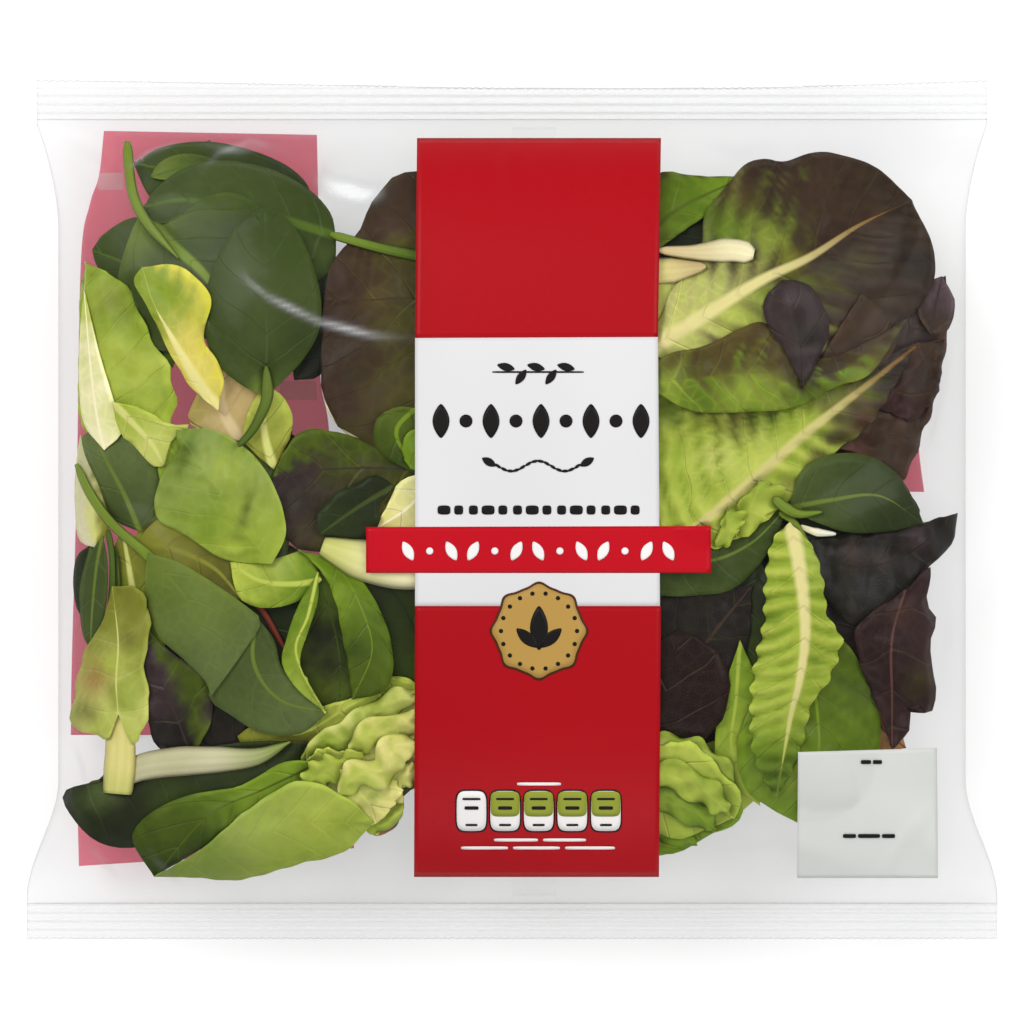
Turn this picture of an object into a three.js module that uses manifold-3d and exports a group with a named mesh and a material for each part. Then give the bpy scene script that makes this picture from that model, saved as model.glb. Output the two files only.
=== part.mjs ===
// A sealed pillow bag of salad leaves, lying on its back with the printed front up.
// Millimetres. +Z is up, +X is to the right of the front and +Y is towards the top seal.
// The origin is on the surface that it lies on, under the middle of the bag.
import * as THREE from 'three';
import { mergeVertices } from 'three/addons/utils/BufferGeometryUtils.js';
import Module from 'manifold-3d';

// The whole bag
const bagLength = 232; // from one cut edge to the other
const topSealWidth = 256.6;
const bottomSealWidth = 262;
const waistWidth = 245; // the filled bag is narrower than its seals
const frontRise = 35; // the front's swell above the seals
const sealHeight = 20; // the seals' mid-plane above the ground
const backDrop = 33; // the back's swell before the ground flattens it
const gripTop = 12; // depth of the top seal
const gripBottom = 11;

// The flare from the waist out to each seal
const topFlareLength = 28;
const topFlarePower = 1.7;
const bottomFlareLength = 32;

// The pillow's swell, across and along
const acrossPower = 3.1;
const acrossRoot = 0.5;
const alongPower = 3;
const alongRoot = 0.6;

// The crimped seals
const sealThickness = 0.8;
const ribPitch = 2.3;
const ribHeight = 0.35;
const ribTop = [0.3, 0.6]; // where a rib's flat top starts and ends, as parts of the pitch
const ribFoot = 0.9;
const plainEdge = 1.6; // the smooth border outside the ribs
const toothPitch = 2.15;
const toothDepth = 0.5;
const topEdgeDip = 2.2; // the top edge isn't quite straight
const dipSkew = 1.4; // above 1, the dip is deepest right of the middle
const tuckIn = 1.5; // how far the pillow runs into each seal

// The back seam, a fin that lies flat to one side
const finWidth = 12;
const finProud = 0.7;
const finRoot = 2; // how far its section reaches into the bag
const finSteps = 28;
const finReach = 0.995; // its part of the way from the middle to each seal
const grooveWidth = 1;
const grooveDepth = 0.5;

// Cells of the front's grid: the back has half as many each way
const cellsAcross = 60;
const cellsAlong = 52;
const rimCrowding = 0.25;

// Puckers that run in from the corners
const puckerHeight = 1.3;
const puckerReach = 46;
const puckerFolds = 7;
const puckerStart = 8; // the corner itself stays smooth

const topLine = bagLength / 2 - gripTop; // where the top seal begins
const bottomLine = -bagLength / 2 + gripBottom;

// Leaves that press on the front: base and tip, half of the breadth, and how far each pushes the film out
const pressedLeaves = [
  { base: [-66, 38], tip: [-68, 82], half: 17, lift: 2.2 }, // spinach, top left
  { base: [-48, 74], tip: [-98, 84], half: 16, lift: 1.6 }, // spinach behind it
  { base: [-78, 28], tip: [-101, 64], half: 9, lift: 2.4 }, // pale heart leaf
  { base: [-112, 22], tip: [-114, 66], half: 12, lift: 1.8 }, // green leaf on the left
  { base: [-80, -16], tip: [-78, 24], half: 18, lift: 2.6 }, // crinkled green leaf
  { base: [-108, 0], tip: [-52, -58], half: 15, lift: 2.4 }, // long spinach leaf
  { base: [-60, -12], tip: [-42, -54], half: 15, lift: 2.8 }, // curled leaf
  { base: [-54, -80], tip: [-100, -98], half: 11, lift: 2.6 }, // folded leaf, bottom left
  { base: [-34, -62], tip: [-66, -84], half: 14, lift: 2 }, // frilled leaf
  { base: [42, 46], tip: [108, 80], half: 24, lift: 2.8 }, // broad red leaf
  { base: [42, 34], tip: [104, 36], half: 9, lift: 2 }, // its folded side
  { base: [44, -6], tip: [104, 34], half: 15, lift: 2.2 }, // pale ribbed leaf
  { base: [76, -6], tip: [108, 4], half: 9, lift: 1.6 }, // spinach on the right
  { base: [78, -6], tip: [72, -60], half: 12, lift: 3 }, // crinkled ribbed leaf
  { base: [84, -10], tip: [112, -52], half: 14, lift: 2 }, // ragged dark leaf
  { base: [58, -56], tip: [92, -78], half: 12, lift: 1.6 }, // broad green leaf
];

const mix = (a, b, t) => a + (b - a) * t;
const ease = (t) => t * t * (3 - 2 * t);
const clamp01 = (t) => Math.min(1, Math.max(0, t));

// Half of the bag's width at a height y on the front
function halfWidth(y) {
  const waist = waistWidth / 2;
  const up = clamp01(1 - (topLine - y) / topFlareLength);
  const down = clamp01(1 - (y - bottomLine) / bottomFlareLength);
  const topFlare = (topSealWidth / 2 - waist) * up ** topFlarePower;
  const bottomFlare = (bottomSealWidth / 2 - waist) * ease(down);
  return waist + topFlare + bottomFlare;
}

// The pillow's swell at grid place u across and v along, each from -1 to 1
function swell(u, v) {
  const across = Math.max(0, 1 - Math.abs(u) ** acrossPower) ** acrossRoot;
  const along = Math.max(0, 1 - Math.abs(v) ** alongPower) ** alongRoot;
  return across * along;
}

// How far one leaf lifts the film at (x, y): a lens-shaped mound along its midrib
function leafLift(leaf, x, y) {
  const [bx, by] = leaf.base;
  const dx = leaf.tip[0] - bx;
  const dy = leaf.tip[1] - by;
  const length = Math.hypot(dx, dy);
  const t = ((x - bx) * dx + (y - by) * dy) / length ** 2;
  if (t <= 0 || t >= 1) return 0;
  const side = ((x - bx) * dy - (y - by) * dx) / length;
  const breadth = leaf.half * Math.sin(Math.PI * t ** 0.8) ** 0.6;
  const s = side / breadth;
  return Math.abs(s) >= 1 ? 0 : leaf.lift * (1 - s ** 2) * Math.sin(Math.PI * t) ** 0.5;
}

// Low folds that fan out of each corner and die away
function pucker(x, y) {
  const cornerX = Math.sign(x) * halfWidth(y);
  const cornerY = y > 0 ? topLine : bottomLine;
  const dx = x - cornerX;
  const dy = y - cornerY;
  const away = Math.hypot(dx, dy);
  if (away >= puckerReach) return 0;
  const fade = ease(1 - away / puckerReach) * clamp01(away / puckerStart);
  return puckerHeight * fade * Math.cos(puckerFolds * Math.atan2(dy, Math.abs(dx)));
}

// A point of the front or the back at grid place (u, v)
function filmPoint(u, v, front) {
  const y = mix(bottomLine - tuckIn, topLine + tuckIn, (v + 1) / 2);
  const x = u * halfWidth(y);
  const rise = swell(u, v);
  if (!front) return [x, y, Math.max(0, sealHeight - backDrop * rise)];
  const lift = Math.max(...pressedLeaves.map((leaf) => leafLift(leaf, x, y)));
  const relief = (lift + pucker(x, y)) * clamp01(rise * 2);
  return [x, y, sealHeight + frontRise * rise + relief];
}

// The grid line of index i, from -1 to 1, set closer together near the rim
function gridPlace(i, cells) {
  const s = (2 * i) / cells - 1;
  return s * (1 + rimCrowding - rimCrowding * s * s);
}

// The pillow: a fine front and a coarser back that share the front's rim
function pillowGeometry() {
  const positions = [];
  const faces = [];
  const index = new Map();
  const pointAt = (i, j, front) => {
    const rim = i === 0 || j === 0 || i === cellsAcross || j === cellsAlong;
    const key = `${i} ${j} ${rim ? 'rim' : front}`;
    if (!index.has(key)) {
      const point = filmPoint(gridPlace(i, cellsAcross), gridPlace(j, cellsAlong), front);
      if (rim) point[2] = sealHeight;
      index.set(key, positions.length / 3);
      positions.push(...point);
    }
    return index.get(key);
  };
  for (let j = 0; j < cellsAlong; j++) {
    for (let i = 0; i < cellsAcross; i++) {
      const [a, b] = [pointAt(i, j, true), pointAt(i + 1, j, true)];
      const [c, d] = [pointAt(i + 1, j + 1, true), pointAt(i, j + 1, true)];
      const leaning = (i < cellsAcross / 2) === (j < cellsAlong / 2);
      if (leaning) faces.push(a, b, c, a, c, d);
      else faces.push(a, b, d, b, c, d);
    }
  }
  for (let j = 0; j < cellsAlong; j += 2) {
    for (let i = 0; i < cellsAcross; i += 2) faces.push(...backCell(i, j, pointAt));
  }
  return solidGeometry(positions, faces);
}

// One cell of the back, with the rim's extra points, as a fan from the corner that is furthest inside
function backCell(i, j, pointAt) {
  const ring = [[i, j], [i, j + 2], [i + 2, j + 2], [i + 2, j]];
  if (i === 0) ring.splice(1, 0, [i, j + 1]);
  if (j === cellsAlong - 2) ring.splice(ring.length - 2, 0, [i + 1, j + 2]);
  if (i === cellsAcross - 2) ring.splice(ring.length - 1, 0, [i + 2, j + 1]);
  if (j === 0) ring.push([i + 1, j]);
  const inside = ([a, b]) => Math.hypot(a / cellsAcross - 0.5, b / cellsAlong - 0.5);
  const first = ring.reduce((best, p, k) => (inside(p) < inside(ring[best]) ? k : best), 0);
  const order = ring.map((_, k) => pointAt(...ring[(first + k) % ring.length], false));
  const faces = [];
  for (let k = 1; k < order.length - 1; k++) faces.push(order[0], order[k], order[k + 1]);
  return faces;
}

function solidGeometry(positions, faces) {
  const geometry = new THREE.BufferGeometry();
  geometry.setAttribute('position', new THREE.Float32BufferAttribute(positions, 3));
  geometry.setIndex(faces);
  return geometry;
}

// A seal's outline from above: straight inside, toothed along the cut edge
function sealOutline(width, inner, outer, dip) {
  const half = width / 2;
  const teeth = Math.round(width / toothPitch);
  const shape = new THREE.Shape();
  shape.moveTo(-half, inner);
  for (let k = 0; k <= 2 * teeth; k++) {
    const t = k / (2 * teeth);
    const sag = dip * Math.sin(Math.PI * t ** dipSkew);
    const tooth = k % 2 ? toothDepth : 0;
    shape.lineTo(mix(-half, half, t), outer - Math.sign(outer) * (tooth + sag));
  }
  shape.lineTo(half, inner);
  return shape;
}

// A seal's section along Y: a thin bar with crimp ribs on both faces
function crimpSection(inner, outer) {
  const away = Math.sign(outer);
  const depth = Math.abs(outer - inner) + topEdgeDip;
  const ribs = Math.floor((Math.abs(outer - inner) - plainEdge - topEdgeDip) / ribPitch);
  const flat = sealThickness / 2;
  const edge = [new THREE.Vector2(0, flat)];
  for (let k = 0; k < ribs; k++) {
    const start = k * ribPitch + plainEdge / 2;
    edge.push(new THREE.Vector2(start, flat));
    for (const t of ribTop) edge.push(new THREE.Vector2(start + ribPitch * t, flat + ribHeight));
    edge.push(new THREE.Vector2(start + ribPitch * ribFoot, flat));
  }
  edge.push(new THREE.Vector2(depth, flat));
  const upper = edge.map((p) => new THREE.Vector2(inner + away * p.x, p.y));
  const lower = edge.map((p) => new THREE.Vector2(inner + away * p.x, -p.y)).reverse();
  return new THREE.Shape([...upper, ...lower]);
}

// Extrudes a section of (y, z) points along X, centred, at the seals' height
function alongX(shape, length) {
  const geometry = new THREE.ExtrudeGeometry(shape, { depth: length, bevelEnabled: false });
  geometry.translate(0, 0, -length / 2);
  const turn = new THREE.Matrix4().makeBasis(
    new THREE.Vector3(0, 1, 0),
    new THREE.Vector3(0, 0, 1),
    new THREE.Vector3(1, 0, 0),
  );
  return geometry.applyMatrix4(turn).translate(0, 0, sealHeight);
}

// The fin's section follows the back from seal to seal
function finGeometry() {
  const positions = [];
  const faces = [];
  for (let k = 0; k <= finSteps; k++) {
    const v = mix(-finReach, finReach, k / finSteps);
    const [, y, level] = filmPoint(0, v, false);
    const low = Math.max(level - finProud, grooveDepth / 2);
    for (const x of [0, finWidth]) positions.push(x, y, low, x, y, level + finRoot);
  }
  const quad = (a, b, c, d) => faces.push(a, b, c, a, c, d);
  for (let k = 0; k < finSteps; k++) {
    const [a, b] = [4 * k, 4 * k + 4];
    quad(a, b, b + 2, a + 2);
    quad(a + 1, a + 3, b + 3, b + 1);
    quad(a, a + 1, b + 1, b);
    quad(a + 2, b + 2, b + 3, a + 3);
  }
  const last = 4 * finSteps;
  quad(0, 2, 3, 1);
  quad(last, last + 1, last + 3, last + 2);
  return solidGeometry(positions, faces);
}

// A shallow line pressed into the flat back beside the fin's free edge
function grooveGeometry() {
  const geometry = new THREE.BoxGeometry(grooveWidth, bagLength, 2 * grooveDepth);
  return geometry.translate(finWidth + grooveWidth / 2, 0, 0);
}

const wasm = await Module();
wasm.setup();

function toManifold(geometry) {
  geometry.deleteAttribute('normal');
  geometry.deleteAttribute('uv');
  const merged = mergeVertices(geometry, 1e-4);
  return new wasm.Manifold(
    new wasm.Mesh({
      numProp: 3,
      vertProperties: merged.attributes.position.array,
      triVerts: new Uint32Array(merged.index.array),
    }),
  );
}

function toGeometry(solid) {
  const mesh = solid.getMesh();
  const geometry = new THREE.BufferGeometry();
  geometry.setAttribute('position', new THREE.BufferAttribute(mesh.vertProperties, 3));
  geometry.setIndex(new THREE.BufferAttribute(mesh.triVerts, 1));
  geometry.computeVertexNormals();
  return geometry;
}

function sealSolid(width, inner, outer, dip) {
  const outline = sealOutline(width, inner, outer, dip);
  const depth = 4 * sealThickness;
  const block = new THREE.ExtrudeGeometry(outline, { depth, bevelEnabled: false });
  block.translate(0, 0, sealHeight - depth / 2);
  const crimp = alongX(crimpSection(inner, outer), width + 2 * gripTop);
  return toManifold(crimp).intersect(toManifold(block));
}

const pillow = toManifold(pillowGeometry());
const topSeal = sealSolid(topSealWidth, topLine, bagLength / 2, topEdgeDip);
const bottomSeal = sealSolid(bottomSealWidth, bottomLine, -bagLength / 2, 0);
const bag = pillow
  .add(topSeal)
  .add(bottomSeal)
  .add(toManifold(finGeometry()))
  .subtract(toManifold(grooveGeometry()));

const film = new THREE.MeshStandardMaterial({ color: 0xdfe6da, roughness: 0.25, metalness: 0 });
const bagMesh = new THREE.Mesh(toGeometry(bag), film);
bagMesh.name = 'salad_bag';

const saladBag = new THREE.Group();
saladBag.add(bagMesh);

export default saladBag;
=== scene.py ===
# A clear bag of mixed salad leaves, lying on its back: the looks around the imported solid.
# Shapes are worked out in millimetres and set into the meshes in metres.
import math
import random
import bpy
import numpy as np
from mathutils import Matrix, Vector, noise


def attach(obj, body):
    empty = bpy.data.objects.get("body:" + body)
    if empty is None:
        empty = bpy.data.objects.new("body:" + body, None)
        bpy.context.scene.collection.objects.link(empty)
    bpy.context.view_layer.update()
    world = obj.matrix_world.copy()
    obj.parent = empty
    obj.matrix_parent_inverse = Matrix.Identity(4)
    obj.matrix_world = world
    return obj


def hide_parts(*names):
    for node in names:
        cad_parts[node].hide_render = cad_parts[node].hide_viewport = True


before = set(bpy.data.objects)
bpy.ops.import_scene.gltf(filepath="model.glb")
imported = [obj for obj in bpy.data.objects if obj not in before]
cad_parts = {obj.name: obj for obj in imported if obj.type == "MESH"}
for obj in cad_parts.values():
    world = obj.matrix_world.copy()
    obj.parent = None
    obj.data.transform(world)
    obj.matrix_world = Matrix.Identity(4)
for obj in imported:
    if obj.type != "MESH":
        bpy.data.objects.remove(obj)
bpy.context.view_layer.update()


# The view: straight down from far above, as the photograph was taken
view = {"distance": 2000.0, "frameWidth": 276.48, "aimY": -0.675, "pixels": 1024, "creaseHeight": 45,
        "frontStart": 48.0, "backStart": 2.0, "steps": 3}
bag = {
    "length": 232, "topSealWidth": 256.6, "bottomSealWidth": 262, "waistWidth": 245,
    "frontRise": 35, "sealHeight": 20, "backDrop": 33, "gripTop": 12, "gripBottom": 11,
    "topFlareLength": 28, "topFlarePower": 1.7, "bottomFlareLength": 32,
    "acrossPower": 3.1, "acrossRoot": 0.5, "alongPower": 3, "alongRoot": 0.6,
    "puckerHeight": 1.3, "puckerReach": 46, "puckerFolds": 7, "puckerStart": 8,
    "tuckIn": 1.5, "backLift": 0.2,
}
topLine = bag["length"] / 2 - bag["gripTop"]
bottomLine = -bag["length"] / 2 + bag["gripBottom"]

# Leaves that press on the front: base, tip, half of the breadth, lift
pressedLeaves = [
    ((-66, 38), (-68, 82), 17, 2.2), ((-48, 74), (-98, 84), 16, 1.6), ((-78, 28), (-101, 64), 9, 2.4),
    ((-112, 22), (-114, 66), 12, 1.8), ((-80, -16), (-78, 24), 18, 2.6), ((-108, 0), (-52, -58), 15, 2.4),
    ((-60, -12), (-42, -54), 15, 2.8), ((-54, -80), (-100, -98), 11, 2.6), ((-34, -62), (-66, -84), 14, 2),
    ((42, 46), (108, 80), 24, 2.8), ((42, 34), (104, 36), 9, 2), ((44, -6), (104, 34), 15, 2.2),
    ((76, -6), (108, 4), 9, 1.6), ((78, -6), (72, -60), 12, 3), ((84, -10), (112, -52), 14, 2),
    ((58, -56), (92, -78), 12, 1.6),
]

# Fine creases of the film, by points of the photograph: height and breadth in millimetres, and the strength
# of the painted highlight streak along each
creases = [
    {"line": [(234, 268), (268, 297), (318, 322), (372, 336), (430, 341)], "height": 0.7, "breadth": 1.25,
     "paintedSheen": 0.95},
    {"line": [(312, 172), (334, 186), (362, 194), (390, 190)], "height": 0.7, "breadth": 2.6, "paintedSheen": 1.5},
    {"line": [(118, 170), (146, 150), (186, 136)], "height": 0.5, "breadth": 0.9, "paintedSheen": 0.5},
    {"line": [(200, 172), (216, 152), (250, 138), (306, 160)], "height": 0.5, "breadth": 1.0, "paintedSheen": 0.45},
    {"line": [(190, 140), (236, 150), (270, 142)], "height": 0.4, "breadth": 1.2, "paintedSheen": 0.4},
    {"line": [(70, 742), (78, 764), (84, 790)], "height": 0.4, "breadth": 0.8, "paintedSheen": 0.5},
    {"line": [(78, 842), (96, 862), (120, 882)], "height": 0.5, "breadth": 1.1, "paintedSheen": 0.4},
    {"line": [(140, 845), (158, 866), (180, 888)], "height": 0.5, "breadth": 1.0, "paintedSheen": 0.3},
    {"line": [(700, 140), (742, 150), (790, 138)], "height": 0.4, "breadth": 2.4, "paintedSheen": 0.15},
    {"line": [(952, 330), (946, 380), (930, 450)], "height": 0.4, "breadth": 1.4, "paintedSheen": 0.35},
    {"line": [(946, 560), (952, 640), (944, 720)], "height": 0.4, "breadth": 2.4, "paintedSheen": 0.1},
    {"line": [(700, 852), (780, 842), (860, 866)], "height": 0.4, "breadth": 2.6, "paintedSheen": 0.12},
    {"line": [(940, 800), (900, 850), (880, 892)], "height": 0.5, "breadth": 2.2, "paintedSheen": 0.15},
]


def ease(t):
    return t * t * (3 - 2 * t)


def mix(a, b, t):
    return a + (b - a) * t


def halfWidth(y):
    waist = bag["waistWidth"] / 2
    up = np.clip(1 - (topLine - y) / bag["topFlareLength"], 0, 1)
    down = np.clip(1 - (y - bottomLine) / bag["bottomFlareLength"], 0, 1)
    topFlare = (bag["topSealWidth"] / 2 - waist) * up ** bag["topFlarePower"]
    bottomFlare = (bag["bottomSealWidth"] / 2 - waist) * ease(down)
    return waist + topFlare + bottomFlare


def swellAt(u, v):
    across = np.maximum(0, 1 - np.abs(u) ** bag["acrossPower"]) ** bag["acrossRoot"]
    along = np.maximum(0, 1 - np.abs(v) ** bag["alongPower"]) ** bag["alongRoot"]
    return across * along


def leafLift(pressed, x, y):
    (baseX, baseY), (tipX, tipY), half, lift = pressed
    dx, dy = tipX - baseX, tipY - baseY
    length = math.hypot(dx, dy)
    t = np.clip(((x - baseX) * dx + (y - baseY) * dy) / length ** 2, 0, 1)
    side = ((x - baseX) * dy - (y - baseY) * dx) / length
    breadth = half * np.sin(math.pi * t ** 0.8) ** 0.6 + 1e-6
    s = np.clip(side / breadth, -1, 1)
    return lift * (1 - s ** 2) * np.sin(math.pi * t) ** 0.5


def pucker(x, y):
    cornerX = np.sign(x) * halfWidth(y)
    cornerY = np.where(y > 0, topLine, bottomLine)
    dx, dy = x - cornerX, y - cornerY
    away = np.hypot(dx, dy)
    fade = ease(np.clip(1 - away / bag["puckerReach"], 0, 1)) * np.clip(away / bag["puckerStart"], 0, 1)
    return bag["puckerHeight"] * fade * np.cos(bag["puckerFolds"] * np.arctan2(dy, np.abs(dx)))


def lineDistance(points, x, y):
    nearest = np.full(np.shape(x), 1e9)
    endFade = np.ones(np.shape(x))
    count = len(points) - 1
    for k in range(count):
        (ax, ay), (bx, by) = points[k], points[k + 1]
        dx, dy = bx - ax, by - ay
        t = np.clip(((x - ax) * dx + (y - ay) * dy) / (dx * dx + dy * dy), 0, 1)
        away = np.hypot(x - ax - t * dx, y - ay - t * dy)
        place = (k + t) / count
        closer = away < nearest
        nearest = np.where(closer, away, nearest)
        endFade = np.where(closer, np.sin(math.pi * np.clip(place, 0.02, 0.98)) ** 0.6, endFade)
    return nearest, endFade


def spotAt(px, py, z):
    # a point of the photograph, at height z of the bag
    scale = view["frameWidth"] / view["pixels"] * (1 - (z - bag["sealHeight"]) / view["distance"])
    middle = view["pixels"] / 2
    return (px - middle) * scale, (middle - py) * scale + view["aimY"]


for crease in creases:
    crease["points"] = [spotAt(px, py, view["creaseHeight"]) for px, py in crease["line"]]


gathers = {"height": 0.28, "pitch": 0.42, "wander": 1.7, "slow": 0.11, "fine": 0.6, "finePitch": 0.83,
           "fineShift": 0.4, "from": 7, "reach": 13}


def gridPlace(x, y):
    v = 2 * (y - bottomLine + bag["tuckIn"]) / (topLine - bottomLine + 2 * bag["tuckIn"]) - 1
    return np.clip(x / halfWidth(y), -1, 1), np.clip(v, -1, 1)


def frontHeight(x, y):
    rise = swellAt(*gridPlace(x, y))
    lift = np.max([leafLift(pressed, x, y) for pressed in pressedLeaves], axis=0)
    relief = lift + pucker(x, y)
    for crease in creases:
        away, endFade = lineDistance(crease["points"], x, y)
        relief = relief + crease["height"] * endFade * np.exp(-(away / crease["breadth"]) ** 2)
    fromSeal = np.minimum(topLine - y, y - bottomLine)
    folds = np.cos(x * gathers["pitch"] + gathers["wander"] * np.sin(x * gathers["slow"]))
    folds = folds + gathers["fine"] * np.cos(x * gathers["finePitch"] + gathers["fineShift"])
    near = np.clip(1 - np.abs(fromSeal - gathers["from"]) / gathers["reach"], 0, 1) ** 1.5
    relief = relief + gathers["height"] * folds * near
    return bag["sealHeight"] + bag["frontRise"] * rise + relief * np.clip(2 * rise, 0, 1)


def backHeight(x, y):
    rise = swellAt(*gridPlace(x, y))
    return np.maximum(bag["backLift"], bag["sealHeight"] - bag["backDrop"] * rise)


def frontSpots(px, py, below=0.0):
    # points of the photograph carried down to the front film, or below it
    px, py = np.asarray(px, float), np.asarray(py, float)
    z = np.full(px.shape, view["frontStart"])
    for _ in range(view["steps"]):
        x, y = spotAt(px, py, z)
        z = frontHeight(x, y) - below
    return x, y, z


def backSpots(px, py):
    px, py = np.asarray(px, float), np.asarray(py, float)
    z = np.full(px.shape, view["backStart"])
    for _ in range(view["steps"]):
        x, y = spotAt(px, py, z)
        z = backHeight(x, y)
    return x, y, z


# Mesh helpers
def deselectAll():
    bpy.ops.object.select_all(action="DESELECT")


def newGrid(name, across, along):
    deselectAll()
    bpy.ops.mesh.primitive_grid_add(x_subdivisions=across, y_subdivisions=along, size=2, location=(0, 0, 0))
    grid = bpy.context.active_object
    grid.name = grid.data.name = name
    places = np.zeros(len(grid.data.vertices) * 3)
    grid.data.vertices.foreach_get("co", places)
    places = places.reshape(-1, 3)
    return grid, places[:, 0], places[:, 1]


def setPlaces(piece, x, y, z):
    places = np.stack([x, y, z], axis=1) / 1000
    piece.data.vertices.foreach_set("co", places.ravel())
    piece.data.update()


def join(pieces, name):
    deselectAll()
    for piece in pieces:
        piece.select_set(True)
    bpy.context.view_layer.objects.active = pieces[0]
    if len(pieces) > 1:
        bpy.ops.object.join()
    joined = bpy.context.active_object
    joined.name = joined.data.name = name
    return joined


mergeReach = {"leaves": 0.00002, "film": 0.000005, "ink": 0.000004}  # in metres


def mergeDoubles(piece, reach):
    deselectAll()
    piece.select_set(True)
    bpy.context.view_layer.objects.active = piece
    bpy.ops.object.mode_set(mode="EDIT")
    bpy.ops.mesh.select_all(action="SELECT")
    bpy.ops.mesh.remove_doubles(threshold=reach)
    bpy.ops.mesh.dissolve_degenerate(threshold=reach / 4)
    bpy.ops.object.mode_set(mode="OBJECT")


def thicken(piece, thickness, offset=-1.0, insideSlot=0):
    wall = piece.modifiers.new("wall", "SOLIDIFY")
    wall.thickness = thickness / 1000
    wall.offset = offset
    wall.use_even_offset = False
    wall.material_offset = insideSlot
    wall.material_offset_rim = insideSlot
    bpy.context.view_layer.objects.active = piece
    bpy.ops.object.modifier_apply(modifier="wall")


def smooth(piece):
    deselectAll()
    piece.select_set(True)
    bpy.context.view_layer.objects.active = piece
    bpy.ops.object.shade_smooth()


def smoothLine(points, t):
    # a smooth line through the points, read at even steps of its length
    p = np.array(points, float)
    ends = np.vstack([2 * p[0] - p[1], p, 2 * p[-1] - p[-2]])
    s = np.linspace(0, 1, 12, endpoint=False)[:, None]
    parts = []
    for k in range(len(p) - 1):
        a, b, c, d = ends[k:k + 4]
        parts.append(0.5 * (2 * b + (c - a) * s + (2 * a - 5 * b + 4 * c - d) * s ** 2
                            + (3 * b - a - 3 * c + d) * s ** 3))
    dense = np.vstack(parts + [p[-1:]])
    length = np.concatenate([[0], np.cumsum(np.hypot(*np.diff(dense, axis=0).T))])
    length /= length[-1]
    return np.interp(t, length, dense[:, 0]), np.interp(t, length, dense[:, 1])


def roughness(x, y, z, size, seed):
    # smooth noise from -1 to 1 with lumps of the given size in millimetres
    return np.array([noise.noise(Vector((a / size + seed, b / size - seed, c / size)))
                     for a, b, c in zip(x, y, z)])


# Shader helpers
class Wire:
    def __init__(self, sheet, socket):
        self.sheet, self.socket = sheet, socket

    def work(self, operation, other=None, flipped=False, clamp=False):
        first, second = (other, self) if flipped else (self, other)
        sockets = {0: first} if second is None else {0: first, 1: second}
        return self.sheet.add("ShaderNodeMath", {"operation": operation, "use_clamp": clamp}, sockets)

    def __add__(self, other):
        return self.work("ADD", other)

    def __sub__(self, other):
        return self.work("SUBTRACT", other)

    def __rsub__(self, other):
        return self.work("SUBTRACT", other, flipped=True)

    def __mul__(self, other):
        return self.work("MULTIPLY", other)

    def __truediv__(self, other):
        return self.work("DIVIDE", other)

    def __pow__(self, other):
        return self.work("POWER", other)

    __radd__ = __add__
    __rmul__ = __mul__

    def size(self):
        return self.work("ABSOLUTE")

    def part(self):
        return self.work("FRACT")

    def bounded(self):
        return self.work("ADD", 0.0, clamp=True)


class Sheet:
    def __init__(self, name):
        self.material = bpy.data.materials.new(name)
        self.material.use_nodes = True
        self.nodes = self.material.node_tree.nodes
        self.links = self.material.node_tree.links
        self.nodes.clear()
        self.output = self.nodes.new("ShaderNodeOutputMaterial")

    def add(self, kind, settings=None, sockets=None, out=0):
        node = self.nodes.new(kind)
        for key, value in (settings or {}).items():
            setattr(node, key, value)
        for key, value in (sockets or {}).items():
            if isinstance(value, Wire):
                self.links.new(value.socket, node.inputs[key])
            elif value is not None:
                node.inputs[key].default_value = value
        return Wire(self, node.outputs[out])

    def blend(self, factor, a, b, kind="MIX"):
        settings = {"data_type": "RGBA", "blend_type": kind, "clamp_factor": True}
        return self.add("ShaderNodeMix", settings, {0: factor, 6: a, 7: b}, out=2)

    def place(self):
        return self.add("ShaderNodeTexCoord", out="Object")

    def noise(self, scale, detail, coarse):
        sockets = {"Vector": self.place(), "Scale": scale, "Detail": detail, "Roughness": coarse}
        return self.add("ShaderNodeTexNoise", None, sockets)

    def attribute(self, name, out="Fac"):
        return self.add("ShaderNodeAttribute", {"attribute_name": name}, out=out)

    def bump(self, height, strength, distance):
        sockets = {"Height": height, "Strength": strength, "Distance": distance}
        return self.add("ShaderNodeBump", None, sockets)

    def finish(self, shader):
        self.links.new(shader.socket, self.output.inputs["Surface"])
        return self.material


def linear(colour):
    # a colour as a screen shows it, 0 to 255, to the renderer's values
    values = []
    for part in colour:
        part = part / 255
        values.append(part / 12.92 if part <= 0.04045 else ((part + 0.055) / 1.055) ** 2.4)
    return (*values, 1.0)


print("helpers ready")
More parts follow.
